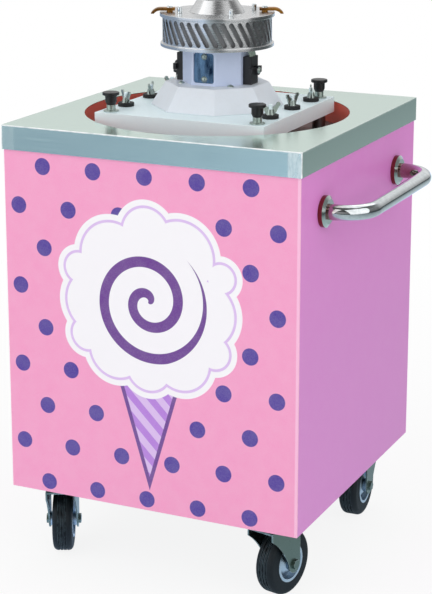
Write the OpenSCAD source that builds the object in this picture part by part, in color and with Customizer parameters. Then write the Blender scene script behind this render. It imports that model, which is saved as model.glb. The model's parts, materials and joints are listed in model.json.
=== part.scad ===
// Cotton candy cart: a panelled cabinet on four swivel casters, with a stainless top,
// a round well in it and a floss spinner on a square drive plate.
// X points to the handle side, Y to the back and Z up from the ground.

/* [Top] */
// Side of the square stainless top
top_w = 600; // [592:2:616]
// Height of the top above the ground
top_h = 865; // [845:5:895]
// Depth of the folded skirt
skirt_h = 46; // [42:1:50]
// Thickness of the stainless sheet
sheet_t = 1.5; // [1.2:0.1:2]
// Width of the steel left between the round hole and the edge of the top
hole_rim = 46; // [44:1:48]
// Thickness of the ring that lines the well
ring_t = 1.5; // [1:0.5:2]

/* [Cabinet] */
// Gap between the skirt and the panels behind it
skirt_gap = 1.5; // [1:0.5:3]
// Thickness of the cabinet panels
panel_t = 3; // [2:0.5:4]
// Side of the square frame tubes
post_w = 25; // [20:1:25]
// Wall of the frame tubes
tube_wall = 2; // [1.5:0.5:2.5]
// Thickness of the floor and deck plates
deck_t = 2; // [1.5:0.5:3]
// Distance that the back of the cabinet stands in from the panel edges
rear_set = 25; // [24:1:30]
// Height of the control fascia above the door
fascia_h = 116; // [105:1:130]

/* [Door] */
// Gap round the free edges of the door
door_gap = 3; // [2:0.5:4]
// Thickness of the core on the inside of the door skin
core_t = 12; // [8:1:15]
// Distance from the posts and the ends of the door to the core
core_set = 34; // [32:1:45]
// Width left beside the door for the hinge knuckles
hinge_w = 14; // [13:1:16]
// Height of one hinge
hinge_h = 70; // [60:2:80]
// Distance from the door's ends to the middle of the hinges
hinge_set = 85; // [70:5:120]
// Radius of the hinge knuckles
knuckle_r = 4; // [3.5:0.5:4.5]
// Diameter of the hinge pins
hinge_pin_d = 4; // [3:0.5:4.5]
// Thickness of the hinge leaves
leaf_t = 2; // [1.5:0.5:2]
// Width of the hinge leaves
leaf_w = 19; // [16:1:20]
// Diameter of the door pull
pull_d = 28; // [22:1:32]
// Thickness of the head of the door pull
pull_head = 10; // [8:1:10]
// Diameter of the neck of the door pull
pull_neck_d = 12; // [10:1:16]
// Length of the neck of the door pull
pull_neck = 9; // [8:1:10]
// Distance of the door pull from the free edge of the door
pull_set = 60; // [45:5:80]
// Size of the magnetic catch along X, Y and Z
catch_size = [20, 14, 46]; // [10:1:60]

/* [Handle] */
// Diameter of the handle tube
handle_d = 29; // [26:1:30]
// Wall of the handle tube
handle_wall = 2; // [1.5:0.5:3]
// Distance between the two ends of the handle
handle_span = 380; // [340:10:400]
// Distance from the panel to the middle of the grip
handle_reach = 75; // [70:1:80]
// Radius of the two bends
handle_bend = 58; // [50:1:60]
// Distance of the handle below the top
handle_drop = 127; // [110:1:140]
// Diameter of the end flanges
flange_d = 58; // [52:1:64]
// Thickness of the rim of the end flanges
flange_rim = 8; // [6:0.5:9]
// Height of the end flanges
flange_h = 12; // [10:0.5:13]

/* [Controls] */
// Distance of the switch from the middle of the fascia
switch_x = 150; // [120:5:170]
// Size of the switch frame along X and Z
switch_size = [32, 36]; // [24:1:44]
// Width of the rim of the switch frame
switch_rim = 4.5; // [4:0.5:5]
// Thickness of the rim on the fascia
switch_flange = 2; // [1.5:0.5:3]
// Depth of the switch body behind the fascia
switch_depth = 24; // [22:1:30]
// Clearance between the rocker and the switch frame
rocker_gap = 1.5; // [1:0.5:2]
// Distance that the ends of the rocker stand out of the fascia
rocker_out = 7; // [6:0.5:8]
// Depth of the crease in the middle of the rocker face
rocker_crease = 2.5; // [2:0.5:3]
// Tilt of the rocker at rest, in degrees
rocker_tilt = 8; // [5:1:9]
// Diameter of the rocker pivot
rocker_pin_d = 3; // [2.5:0.5:4]
// Diameter of the heat dial
dial_d = 36; // [30:1:40]
// Height of the heat dial
dial_h = 16; // [14:1:18]
// Diameter of the dial shaft
dial_shaft_d = 6; // [5:0.5:8]
// Length of the dial shaft behind the fascia
dial_shaft = 20; // [15:1:25]
// Size of the pointer rib on the dial along X, Y and Z
dial_rib = [3, 2, 15]; // [1:0.5:16]
// Distance of the inlet from the middle of the fascia
inlet_x = -150; // [-170:5:-120]
// Size of the inlet flange along X and Z
inlet_size = [50, 32]; // [28:1:60]
// Width of the flange round the inlet
inlet_rim = 6; // [5:0.5:7]
// Thickness of the inlet flange
inlet_flange = 3; // [2:0.5:4]
// Depth of the inlet body
inlet_depth = 26; // [22:1:30]
// Wall of the inlet body
inlet_wall = 3; // [2:0.5:4]
// Size of the contact blades along X, Y and Z
blade_size = [2, 16, 6]; // [2:1:18]
// Distance between the contact blades
blade_step = 10; // [8:0.5:11]

/* [Casters] */
// Diameter of the wheels
wheel_d = 125; // [115:1:130]
// Width of the tyres
tyre_w = 38; // [34:1:42]
// Radius of the tyre shoulders
tyre_shoulder = 9; // [6:1:10]
// Number of grooves in the tread
groove_n = 3; // [1:1:3]
// Width and depth of a tread groove
groove_w = 2.5; // [1:0.5:3]
// Diameter of the rim that the tyre sits on
rim_d = 74; // [68:1:78]
// Thickness of the rim barrel
rim_t = 5; // [4:0.5:6]
// Width of the rim barrel
rim_w = 40; // [38:1:44]
// Thickness of the wheel disc at the barrel
disc_t = 8; // [6:1:12]
// Thickness of the wheel disc at the hub
disc_hub_w = 36; // [30:1:40]
// Length of the hub
hub_w = 51; // [48:1:54]
// Diameter of the hub
hub_d = 28; // [24:1:30]
// Diameter of the axle bolt
axle_d = 12; // [10:1:14]
// Gap between the hub and each fork leg
hub_gap = 0.5; // [0.4:0.1:1]
// Distance from the swivel axis back to the axle
trail = 36; // [32:1:40]
// Thickness of the fork sheet
fork_t = 3; // [2.5:0.5:4]
// Radius of the fork leg round the axle
fork_boss = 17; // [15:1:18]
// Radius of the hollow front edge of the fork leg
fork_scoop = 155; // [145:5:165]
// Depth of the middle of that hollow edge below the axle
scoop_drop = 60; // [50:5:70]
// Length of the fork crown ahead of the swivel axis
crown_ahead = 34; // [32:1:38]
// Gap between the wheel and the fork crown
crown_gap = 16; // [12:1:18]
// Diameter of the kingpin
kingpin_d = 20; // [16:1:22]
// Diameter of the swivel race
race_d = 60; // [54:1:64]
// Height of the swivel race
race_h = 7.5; // [7:0.5:9]
// Gap between the swivel race and the fork crown
race_gap = 0.5; // [0.4:0.1:1]
// Size of the top plate of a caster along X, Y and Z
caster_plate = [100, 85, 3]; // [3:1:110]
// Distance of the swivel axes from the insides of the panels along X and Y
caster_set = [72, 54]; // [50:1:90]
// Distances between the bolts of one caster along X and Y
caster_bolts_at = [75, 40]; // [36:1:78]
// Diameter of the caster bolts
caster_bolt_d = 8; // [6:1:8]
// Height of bolt heads and nuts
nut_h = 5; // [4:0.5:6]
// Ratio of a nut's corner radius to its bolt's radius
nut_share = 1.6; // [1.5:0.05:1.65]
// Direction in which each caster trails, in degrees, front left first
caster_yaws = [115, 77, -105, -88]; // [-180:1:180]

/* [Drive plate] */
// Clearance between the corners of the drive plate and the well
plate_clear = 9.3; // [6:0.1:12]
// Height of the drive plate above the steel top
plate_rise = 12; // [9:1:15]
// Depth of the folded edge of the drive plate
plate_skirt = 30; // [26:1:34]
// Thickness of the drive plate
plate_t = 2; // [1.5:0.5:3]
// Distance of the corner plungers from the edges of the plate
plunger_set = 23; // [21:1:26]
// Diameter of the corner stands under the plate
stand_d = 26; // [24:1:30]
// Diameter of the plunger pins
pin_d = 8; // [6:0.5:9]
// Length of the plunger pins under the plate
pin_reach = 20; // [12:1:25]
// Clearance round a pin in its corner stand
stand_gap = 0.6; // [0.4:0.1:1]
// Diameter of the plunger base washers
collar_d = 29; // [26:1:31]
// Thickness of the plunger base washers
collar_h = 2.5; // [2:0.5:4]
// Diameter of the plunger shanks
shank_d = 17; // [14:1:18]
// Height of the plunger shanks
shank_h = 10; // [8:1:14]
// Diameter of the plunger spigots through the plate
spigot_d = 14; // [12:1:16]
// Height of the stem of a pull knob
knob_stem_h = 18; // [16:1:22]
// Diameter of the stem of a pull knob
knob_stem_d = 22; // [20:1:24]
// Diameter of the head of a pull knob
knob_d = 32; // [28:1:34]
// Thickness of the head of a pull knob
knob_head = 6; // [5:0.5:8]

/* [Bowl studs] */
// Places of the bowl studs along Y, as shares of half the plate
stud_shares = [-0.52, 0.08, 0.624]; // [-0.64:0.01:0.64]
// Distance of the bowl studs from the side edges of the plate
stud_set = 23; // [19:1:27]
// Diameter of the bowl studs
stud_d = 8; // [6:1:8]
// Length of the bowl studs above the plate
stud_h = 26; // [22:1:28]
// Diameter of the rubber washers
washer_d = 31; // [26:1:32]
// Thickness of the rubber washers
washer_h = 7; // [5:0.5:8]
// Diameter of the wing nut hub at its foot
wing_hub_d = 16; // [14:1:18]
// Diameter of the wing nut hub at its top
wing_hub_top_d = 12; // [11:0.5:13]
// Height of the wing nut hub
wing_hub_h = 10; // [8:1:12]
// Reach of a wing from the middle of the nut
wing_reach = 15; // [13:1:17]
// Height of the wings over the foot of the nut
wing_top = 23; // [20:1:26]
// Thickness of the wings
wing_t = 3; // [2.5:0.5:4]
// Radius of the wing tips
wing_tip_r = 4; // [3:0.5:5]
// Clearance between a nut or a washer and its stud
stud_gap = 0.2; // [0.1:0.1:0.4]
// Turn from one wing nut to the next, in degrees
wing_turn = 38; // [0:1:90]

/* [Drive housing] */
// Clearance between the foot of the eight-sided housing and the rubber washers
housing_clear = 16.3; // [13:0.1:20]
// Corner radius of the housing at its top
housing_top_r = 99; // [96:1:104]
// Height of the housing
housing_h = 45; // [40:1:52]
// Wall of the housing
housing_t = 3; // [2:0.5:4]
// Corner radius of the brush column
column_r = 66; // [62:1:70]
// Height of the brush column
column_h = 66; // [64:1:70]
// Wall of the brush column
column_t = 3; // [2.5:0.5:4]
// Width of the window in the brush column
window_w = 42; // [38:1:43]
// Distance from the ends of the column to the window
window_set = 4.5; // [4:0.5:6]
// Corner radius of the window
window_r = 5; // [3:1:8]
// Width of the plate behind the window
window_plate_w = 46; // [44:1:47]
// Thickness of the plate behind the window
window_plate_t = 2; // [1.5:0.5:3]
// Distance from the flats of the column out to the screws at its foot
foot_screw_set = 11; // [9:1:14]
// Diameter of the screw heads on the column
screw_d = 13; // [9:1:13]
// Height of the screw heads
screw_h = 4.5; // [3:0.5:5]
// Distance of the window screws from the middle of the window
window_screw_z = 21.5; // [19:0.5:22]

/* [Brush gear] */
// Size of a brush block: outward, along the face and up
block_size = [17, 32, 53]; // [14:1:56]
// Size of the clamp bar on a block: outward, along the face and up
clamp_size = [5, 46, 12]; // [4:1:48]
// Diameter of the clamp cap
cap_d = 18; // [16:1:20]
// Thickness of the clamp cap
cap_h = 4; // [3:0.5:6]
// Side of the square carbon brushes
brush_w = 8; // [6:0.5:9]
// Depth of a brush inside its block
brush_in = 8; // [6:0.5:10]
// Clearance between a brush and its block
brush_gap = 0.2; // [0.1:0.1:0.3]
// Gap between a brush and its slip ring
brush_tip_gap = 0.3; // [0.3:0.1:0.5]
// Diameter of the brush leads
lead_d = 4; // [3:0.5:4.5]
// Bend radius of the brush leads
lead_bend = 13; // [11:0.5:13]
// Number of leads on each block
lead_n = 4; // [2:1:4]
// Distance between leads
lead_step = 7; // [6:0.5:8]

/* [Motor] */
// Diameter of the motor
motor_d = 120; // [110:2:124]
// Height of the motor
motor_h = 86; // [80:1:88]
// Wall of the motor casing
motor_wall = 5; // [4:0.5:6]
// Thickness of the motor ends
motor_end = 10; // [10:1:12]
// Gap between the motor and the opening in the drive plate
motor_gap = 8; // [5:1:10]
// Gap round the spindle in the motor ends
motor_shaft_gap = 4; // [3:0.5:5]
// Diameter of the rotor
rotor_d = 90; // [80:2:96]
// Length of the rotor
rotor_h = 48; // [40:1:54]
// Diameter of the spindle
spindle_d = 16; // [14:1:18]
// Outer diameter of the bearings
bearing_d = 40; // [36:1:44]
// Width of the bearings
bearing_w = 10; // [8:1:10]
// Outer diameter of the insulating sleeve
sleeve_d = 40; // [36:1:44]
// Outer diameter of the slip rings
slip_d = 58; // [52:1:62]
// Height of one slip ring
slip_h = 12; // [10:1:14]
// Height of the lower slip ring over the foot of the column
slip_z = 14; // [12:1:16]
// Distance from one slip ring to the next
slip_step = 24; // [20:1:26]

/* [Spinner] */
// Gap between the column and the spinner
drum_gap = 4; // [3:0.5:6]
// Diameter of the slotted wall
drum_d = 208; // [204:1:212]
// Thickness of the slotted wall
drum_wall_t = 4; // [3:0.5:5]
// Height of the slotted wall
drum_h = 50; // [46:1:54]
// Distance that the spinner floor stands out past the slotted wall
drum_lip = 4; // [3:0.5:6]
// Thickness of the spinner floor
drum_floor_t = 6; // [5:0.5:8]
// Diameter of the hub under the spinner floor
drum_hub_d = 44; // [40:1:50]
// Height of the hub under the spinner floor
drum_hub_h = 10; // [8:1:12]
// Number of slots in the wall
slot_n = 40; // [36:1:42]
// Width of a slot
slot_w = 9.5; // [8:0.5:10.5]
// Distance from the ends of the wall to the slots
slot_set = 2; // [1.5:0.5:4]
// Lean of the slots, in degrees
slot_lean = 28; // [20:1:30]
// Distance that the spinner cover stands out past the slotted wall
cover_lip = 5; // [4:0.5:7]
// Thickness of the spinner cover
cover_t = 7; // [6:0.5:8]
// Distance from the circle of tie rods to the edge of the sugar hole in the cover
sugar_hole_set = 27; // [26:1:31]
// Distance that the foot of the sugar cone stands out past the sugar hole
cone_seat = 5; // [4:0.5:7]
// Difference between the radius of the sugar cone at its foot and at its mouth
cone_draw = 16; // [14:1:19]
// Height of the sugar cone
cone_h = 25; // [22:1:30]
// Wall of the sugar cone
cone_t = 2; // [1.5:0.5:3]
// Gap between the heater band and the slotted wall
heater_gap = 5; // [4:0.5:8]
// Thickness of the heater band
heater_t = 2; // [1.5:0.5:3]
// Distance from the heater band in to the circle of tie rods
tie_set = 18; // [15:1:21]
// Diameter of the tie rods
tie_d = 6; // [5:0.5:7]
// Diameter of the tie rod caps
tie_cap_d = 9; // [8:0.5:10]
// Height of the tie rod caps
tie_cap_h = 10; // [8:0.5:12]
// Height of the domes on the tie rod caps
tie_dome = 3; // [2:0.5:4]
// Clearance round the tie rods
tie_gap = 0.2; // [0.1:0.1:0.4]
// Direction of the two floss wings, in degrees
fin_angle = 25; // [0:1:40]
// Width of a floss wing
fin_w = 19; // [16:1:20]
// Thickness of a floss wing
fin_t = 5; // [4:0.5:6]
// Height of a floss wing over the cover
fin_lift = 3; // [2.5:0.5:5]
// Distance from the edge of the cover to the inner end of a floss wing
fin_in_set = 29; // [25:1:31]
// Distance from the edge of the cover to the bend of a floss wing
fin_bend_set = 1; // [0.5:0.5:5]
// Outer radius of the bend of a floss wing
fin_bend = 20; // [18:1:22]
// Distance that the tip of a floss wing hangs down
fin_drop = 11; // [9:0.5:12]
// Distance from the edge of the cover to the screw of a floss wing
fin_screw_set = 19; // [15:1:21]
// Diameter of the foot under a floss wing
fin_foot_d = 12; // [10:1:14]

/* [Hidden] */
$fn = 96;
// Radial clearance of a shaft that turns in a hole
run_gap = 0.05;
// Radial clearance of a bolt in its hole
bolt_gap = 0.2;
// Gap between pieces that are joined by a weld, a press fit or a screw
join_gap = 0.1;
// Gap between flat faces that turn past each other
face_gap = 0.5;
// Length by which every cut passes the face it opens
overrun = 1;

// Plan of the cabinet, measured from the middle of the top
top_half = top_w / 2;
pan_o = top_half - sheet_t - skirt_gap;
pan_i = pan_o - panel_t;
rear_o = pan_o - rear_set;
rear_i = rear_o - panel_t;
hole_r = top_half - hole_rim;
handle_out = pan_o + handle_reach + handle_d / 2;
cart_x = (top_half - handle_out) / 2;

// Drive plate in the well, with what stands on it
half_side = 180 / 8;
plate_half = (hole_r - plate_clear) * cos(45);
plunger_at = plate_half - plunger_set;
stud_x = plate_half - stud_set;
stud_ys = [for (share = stud_shares) share * plate_half];
housing_r = (stud_x - washer_d / 2 - housing_clear) / cos(half_side);

// Heights
wheel_r = wheel_d / 2;
crown_z = wheel_d + crown_gap + fork_t;
cab_z = crown_z + race_gap + race_h + caster_plate[2];
floor_z = cab_z + deck_t;
sheet_z = top_h - sheet_t;
well_z = top_h - skirt_h;
deck_z = well_z - deck_t;
fascia_z = deck_z - fascia_h;
fascia_mid = deck_z - fascia_h / 2;
handle_z = top_h - handle_drop;
plate_z = top_h + plate_rise;
plate_under = plate_z - plate_t;
knob_z = plate_z + collar_h + shank_h;
column_z = plate_z + housing_h;
block_z = column_z + block_size[2];
drum_z = column_z + column_h + drum_gap;
wall_z = drum_z + drum_floor_t;
cover_z = wall_z + drum_h;
cone_z = cover_z + cover_t;
motor_z = column_z - housing_t - motor_h;

// Door and hinges
door_x0 = -(pan_i - hinge_w);
door_x1 = pan_i - door_gap;
door_z0 = floor_z + door_gap;
door_z1 = fascia_z - door_gap;
door_zm = (door_z0 + door_z1) / 2;
hinge_x = -(pan_i - hinge_w / 2);
hinge_y = rear_o + knuckle_r;
hinge_zs = [door_z0 + hinge_set, door_z1 - hinge_set];
knuckle_h = hinge_h / 3;

// Casters
caster_at = [pan_i - caster_set[0], pan_i - caster_set[1]];
fork_half = hub_w / 2 + hub_gap;
scoop_reach = sqrt(fork_scoop * fork_scoop - scoop_drop * scoop_drop);
axle_r = axle_d / 2;
bolt_r = caster_bolt_d / 2;
nut_r = bolt_r * nut_share;
axle_nut_r = axle_r * nut_share;

// Eight-sided shapes: flats face the sides of the cart
column_flat = column_r * cos(half_side);
column_in = column_flat - column_t;
block_face = column_flat + block_size[0];
clamp_z = column_z + block_size[2] / 2;
brush_zs = [column_z + slip_z, column_z + slip_z + slip_step];
window_mid = column_z + column_h / 2;

// Spinner radii
drum_r = drum_d / 2;
drum_floor_r = drum_r + drum_lip;
cover_r = drum_r + cover_lip;
heater_r = drum_r - drum_wall_t - heater_gap;
tie_r = heater_r - heater_t - tie_set;
sugar_hole_r = tie_r - sugar_hole_set;
cone_r = sugar_hole_r + cone_seat;
cone_top_r = cone_r - cone_draw;
fin_in = cover_r - fin_in_set;
fin_bend_at = cover_r - fin_bend_set;
fin_screw_at = cover_r - fin_screw_set;

// Switch
switch_half = [switch_size[0] / 2 - switch_rim, switch_size[1] / 2 - switch_rim];
rocker_half = [switch_half[0] - rocker_gap, switch_half[1] - rocker_gap - rocker_gap];

// Shared shapes

// Box between its limits along X, Y and Z
module box(x, y, z) {
  translate([x[0], y[0], z[0]])
    cube([x[1] - x[0], y[1] - y[0], z[1] - z[0]]);
}

function span(middle, size) = [middle - size / 2, middle + size / 2];

function mirrored(limit) = [-limit, limit];

// Limits of a tube's hollow: past the ends where it is open, inside the wall elsewhere
function hollow(limits, open) = open
  ? [limits[0] - overrun, limits[1] + overrun]
  : [limits[0] + tube_wall, limits[1] - tube_wall];

// Square tube between its limits, open along one axis
module square_tube(x, y, z, axis) {
  difference() {
    box(x, y, z);
    box(hollow(x, axis == 0), hollow(y, axis == 1), hollow(z, axis == 2));
  }
}

// Ring between two radii and two heights
module ring(r_in, r_out, z) {
  translate([0, 0, z[0]])
    difference() {
      cylinder(r = r_out, h = z[1] - z[0]);
      translate([0, 0, -overrun])
        cylinder(r = r_in, h = z[1] - z[0] + 2 * overrun);
    }
}

// Round rod between two heights
module rod(r, z) {
  translate([0, 0, z[0]])
    cylinder(r = r, h = z[1] - z[0]);
}

// Straight eight-sided prism with flats towards the sides of the cart
module eight_sided(r, z) {
  translate([0, 0, z[0]])
    rotate(half_side)
      cylinder(r = r, h = z[1] - z[0], $fn = 8);
}

// Domed screw head standing on the XY plane
module screw_head(d, h) {
  ball_r = (d * d / 4 + h * h) / (2 * h);
  intersection() {
    translate([0, 0, h - ball_r])
      sphere(r = ball_r);
    cylinder(d = d + overrun, h = h + overrun);
  }
}

// Half profile of a wheel part: radii along X, width along Y
module profile_band(r_in, r_out, w) {
  translate([r_in, -w / 2])
    square([r_out - r_in, w]);
}

// Places

// Frame of the cart: the middle of the top stands over this origin
module on_cart() {
  translate([cart_x, 0, 0])
    children();
}

function side_x(i) = i % 2 == 0 ? -1 : 1;

function side_y(i) = i < 2 ? -1 : 1;

// Swivel axis of caster i, not turned
module at_swivel(i) {
  translate([side_x(i) * caster_at[0], side_y(i) * caster_at[1], 0])
    children();
}

// Swivel axis of caster i with X along its trail
module at_caster(i) {
  on_cart()
    at_swivel(i)
      rotate(caster_yaws[i])
        children();
}

// Middle of wheel i with Z along its axle
module at_wheel(i) {
  at_caster(i)
    translate([trail, 0, wheel_r])
      rotate([90, 0, 0])
        children();
}

module at_caster_bolts() {
  for (i = [0:3], sx = [-0.5, 0.5], sy = [-0.5, 0.5])
    at_swivel(i)
      translate([sx * caster_bolts_at[0], sy * caster_bolts_at[1], 0])
        children();
}

module at_plunger(i) {
  translate([side_x(i) * plunger_at, side_y(i) * plunger_at, 0])
    children();
}

module at_bowl_studs() {
  for (sx = [-1, 1], k = [0:len(stud_ys) - 1])
    translate([sx * stud_x, stud_ys[k], plate_z])
      rotate(sx * wing_turn * (k + 1))
        children();
}

// Brush block k: X points out of the column
module at_block(k) {
  rotate(180 * k)
    children();
}

module at_tie_rods() {
  for (k = [0:3])
    rotate(90 * k + 45)
      translate([tie_r, 0, 0])
        children();
}

// Cabinet

module floor_panel() {
  color("gainsboro")
    on_cart()
      difference() {
        box(mirrored(pan_i), mirrored(pan_i), [cab_z, floor_z]);
        at_caster_bolts()
          rod(bolt_r + bolt_gap, [cab_z - overrun, floor_z + overrun]);
      }
}

module frame() {
  post_xs = [[-pan_i, -pan_i + post_w], [pan_i - post_w, pan_i]];
  post_ys = [[-pan_i, -pan_i + post_w], [rear_i - post_w, rear_i]];
  top_ys = [[-pan_i, -pan_i + post_w], [pan_i - post_w, pan_i]];
  between_x = mirrored(pan_i - post_w - join_gap);
  between_y = [-pan_i + post_w + join_gap, rear_i - post_w - join_gap];
  foot_z = [floor_z, floor_z + post_w];
  head_z = [well_z, sheet_z];
  color("dimgray")
    on_cart() {
      for (x = post_xs, y = post_ys)
        square_tube(x, y, [floor_z, deck_z], 2);
      square_tube(between_x, post_ys[0], foot_z, 0);
      for (x = post_xs)
        square_tube(x, between_y, foot_z, 1);
      for (y = top_ys)
        square_tube(mirrored(pan_i), y, head_z, 0);
      for (x = post_xs)
        square_tube(x, between_x, head_z, 1);
    }
}

module front_panel() {
  color("pink")
    on_cart()
      box(mirrored(pan_o), [-pan_o, -pan_i], [cab_z, sheet_z]);
}

module side_panel(side) {
  x = side < 0 ? [-pan_o, -pan_i] : [pan_i, pan_o];
  on_cart()
    box(x, [-pan_i, pan_o], [cab_z, sheet_z]);
}

module left_panel() {
  color("orchid")
    side_panel(-1);
}

module right_panel() {
  color("orchid")
    side_panel(1);
}

module rear_fascia() {
  color("silver")
    on_cart()
      difference() {
        box(mirrored(pan_i), [rear_i, rear_o], [fascia_z, deck_z]);
        box(
          span(switch_x, switch_size[0] - switch_rim),
          [rear_i - overrun, rear_o + overrun],
          span(fascia_mid, switch_size[1] - switch_rim)
        );
        box(
          span(inlet_x, inlet_size[0] - 2 * inlet_rim),
          [rear_i - overrun, rear_o + overrun],
          span(fascia_mid, inlet_size[1] - 2 * inlet_rim)
        );
        translate([0, rear_i - overrun, fascia_mid])
          rotate([-90, 0, 0])
            cylinder(d = dial_shaft_d + 2 * run_gap, h = panel_t + 2 * overrun);
      }
}

module rear_door() {
  core_z = [door_z0 + core_set, door_z1 - core_set];
  color("thistle")
    on_cart() {
      box([door_x0, door_x1], [rear_i, rear_o], [door_z0, door_z1]);
      box(mirrored(pan_i - post_w - core_set), [rear_i - core_t, rear_o], core_z);
    }
}

// One third of a hinge, counted from its foot, less the gap to its neighbours
function knuckle_span(mid, third) = [
  mid + (third - 1.5) * knuckle_h + face_gap / 2,
  mid + (third - 0.5) * knuckle_h - face_gap / 2
];

module hinge_fixed_leaves() {
  leaf_x = [-pan_i, -pan_i + leaf_t];
  leaf_y = [rear_o, rear_o + leaf_w];
  color("lightgray")
    on_cart()
      for (mid = hinge_zs) {
        difference() {
          union() {
            box(leaf_x, leaf_y, span(mid, hinge_h));
            for (third = [0, 2]) {
              box([-pan_i, hinge_x], [hinge_y, hinge_y + knuckle_r], knuckle_span(mid, third));
              translate([hinge_x, hinge_y, 0])
                rod(knuckle_r, knuckle_span(mid, third));
            }
          }
          translate([hinge_x, hinge_y, 0])
            rod(hinge_pin_d / 2 + run_gap, [mid - hinge_h, mid + hinge_h]);
        }
        translate([hinge_x, hinge_y, 0])
          rod(hinge_pin_d / 2, span(mid, hinge_h));
      }
}

module hinge_door_leaves() {
  leaf_y = [rear_o, rear_o + leaf_t];
  leaf_x0 = hinge_x + knuckle_r + face_gap;
  color("lightgray")
    on_cart()
      for (mid = hinge_zs)
        difference() {
          union() {
            box([leaf_x0, leaf_x0 + leaf_w], leaf_y, span(mid, hinge_h));
            box([hinge_x, leaf_x0 + leaf_w], leaf_y, knuckle_span(mid, 1));
            translate([hinge_x, hinge_y, 0])
              rod(knuckle_r, knuckle_span(mid, 1));
          }
          translate([hinge_x, hinge_y, 0])
            rod(hinge_pin_d / 2 + run_gap, span(mid, hinge_h));
        }
}

module door_pull() {
  color("black")
    on_cart()
      translate([door_x1 - pull_set, rear_o, door_zm])
        rotate([-90, 0, 0]) {
          cylinder(d = pull_neck_d, h = pull_neck);
          translate([0, 0, pull_neck])
            cylinder(d = pull_d, h = pull_head);
        }
}

module door_catch() {
  post_face = pan_i - post_w;
  color("saddlebrown")
    on_cart()
      box(
        [post_face - catch_size[0], post_face],
        [rear_i - catch_size[1], rear_i],
        span(door_zm, catch_size[2])
      );
}

// Top and well

module steel_top() {
  color("lightsteelblue")
    on_cart()
      difference() {
        box(mirrored(top_half), mirrored(top_half), [well_z, top_h]);
        box(
          mirrored(top_half - sheet_t),
          mirrored(top_half - sheet_t),
          [well_z - overrun, sheet_z]
        );
        rod(hole_r, [well_z, top_h + overrun]);
      }
}

module well_ring() {
  color("firebrick")
    on_cart()
      ring(hole_r, hole_r + ring_t, [well_z, sheet_z]);
}

// Deck under the well with the four corner stands welded to it
module well_deck() {
  color("slategray")
    on_cart()
      difference() {
        union() {
          box(mirrored(pan_i), mirrored(pan_i), [deck_z, well_z]);
          for (i = [0:3])
            at_plunger(i)
              rod(stand_d / 2, [deck_z, plate_under]);
        }
        for (i = [0:3])
          at_plunger(i)
            rod(pin_d / 2 + stand_gap, [plate_under - 2 * pin_reach, plate_under + overrun]);
      }
}

// Handle

// Swept path of the handle with radius r, lengthened by extra at both ends
module handle_path(r, extra) {
  leg = handle_reach - handle_bend;
  half = handle_span / 2;
  run = half - handle_bend;
  translate([pan_o, 0, handle_z]) {
    for (s = [-1, 1]) {
      translate([-extra, s * half, 0])
        rotate([0, 90, 0])
          cylinder(r = r, h = leg + extra);
      translate([leg, s * run, 0])
        rotate(s < 0 ? -90 : 0)
          rotate_extrude(angle = 90)
            translate([handle_bend, 0])
              circle(r = r);
    }
    translate([handle_reach, -run, 0])
      rotate([-90, 0, 0])
        cylinder(r = r, h = 2 * run);
  }
}

module handle_tube() {
  color("whitesmoke")
    on_cart()
      difference() {
        handle_path(handle_d / 2, 0);
        handle_path(handle_d / 2 - handle_wall, overrun);
      }
}

module handle_flanges() {
  color("whitesmoke")
    on_cart()
      for (s = [-1, 1])
        translate([pan_o, s * handle_span / 2, handle_z])
          rotate([0, 90, 0])
            difference() {
              union() {
                cylinder(d = flange_d, h = flange_rim);
                translate([0, 0, flange_rim])
                  cylinder(d1 = flange_d, d2 = handle_d + 2 * flange_rim, h = flange_h - flange_rim);
              }
              translate([0, 0, -overrun])
                cylinder(d = handle_d, h = flange_h + 2 * overrun);
            }
}

// Casters

module caster_plates() {
  plate_foot = cab_z - caster_plate[2];
  color("silver")
    on_cart()
      difference() {
        for (i = [0:3])
          at_swivel(i)
            difference() {
              union() {
                box(
                  span(0, caster_plate[0]),
                  span(0, caster_plate[1]),
                  [plate_foot, cab_z]
                );
                rod(race_d / 2, [plate_foot - race_h, cab_z]);
              }
              rod(kingpin_d / 2 + run_gap, [crown_z - overrun, plate_foot]);
            }
        at_caster_bolts()
          rod(bolt_r + bolt_gap, [plate_foot - overrun, cab_z + overrun]);
      }
}

module caster_bolts() {
  plate_foot = cab_z - caster_plate[2];
  color("silver")
    on_cart()
      at_caster_bolts() {
        rod(bolt_r, [plate_foot - nut_h, floor_z + nut_h]);
        translate([0, 0, plate_foot - nut_h])
          cylinder(r = nut_r, h = nut_h, $fn = 6);
        translate([0, 0, floor_z])
          cylinder(r = nut_r, h = nut_h, $fn = 6);
      }
}

// Side view of a fork leg: X along the trail, Y up
module fork_leg_outline() {
  difference() {
    translate([-crown_ahead, wheel_r])
      square([crown_ahead + trail + fork_boss, crown_z - wheel_r]);
    translate([trail - fork_boss - scoop_reach, wheel_r - scoop_drop])
      circle(r = fork_scoop);
  }
  translate([trail, wheel_r])
    circle(r = fork_boss);
}

module caster_fork(i) {
  at_caster(i) {
    difference() {
      union() {
        for (y = [fork_half + fork_t, -fork_half])
          translate([0, y, 0])
            rotate([90, 0, 0])
              linear_extrude(height = fork_t)
                fork_leg_outline();
        box(
          [-crown_ahead, trail + fork_boss],
          mirrored(fork_half + fork_t),
          [crown_z - fork_t, crown_z]
        );
        rod(kingpin_d / 2, [crown_z - fork_t, cab_z - caster_plate[2] - race_gap]);
      }
      translate([trail, -fork_half - fork_t - overrun, wheel_r])
        rotate([-90, 0, 0])
          cylinder(r = axle_r + bolt_gap, h = 2 * (fork_half + fork_t + overrun));
    }
    translate([trail, 0, wheel_r])
      rotate([90, 0, 0]) {
        rod(axle_r, mirrored(fork_half + fork_t + join_gap + nut_h));
        for (s = [-1, 1])
          translate([0, 0, s * (fork_half + fork_t + join_gap + nut_h / 2) - nut_h / 2])
            cylinder(r = axle_nut_r, h = nut_h, $fn = 6);
      }
  }
}

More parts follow.
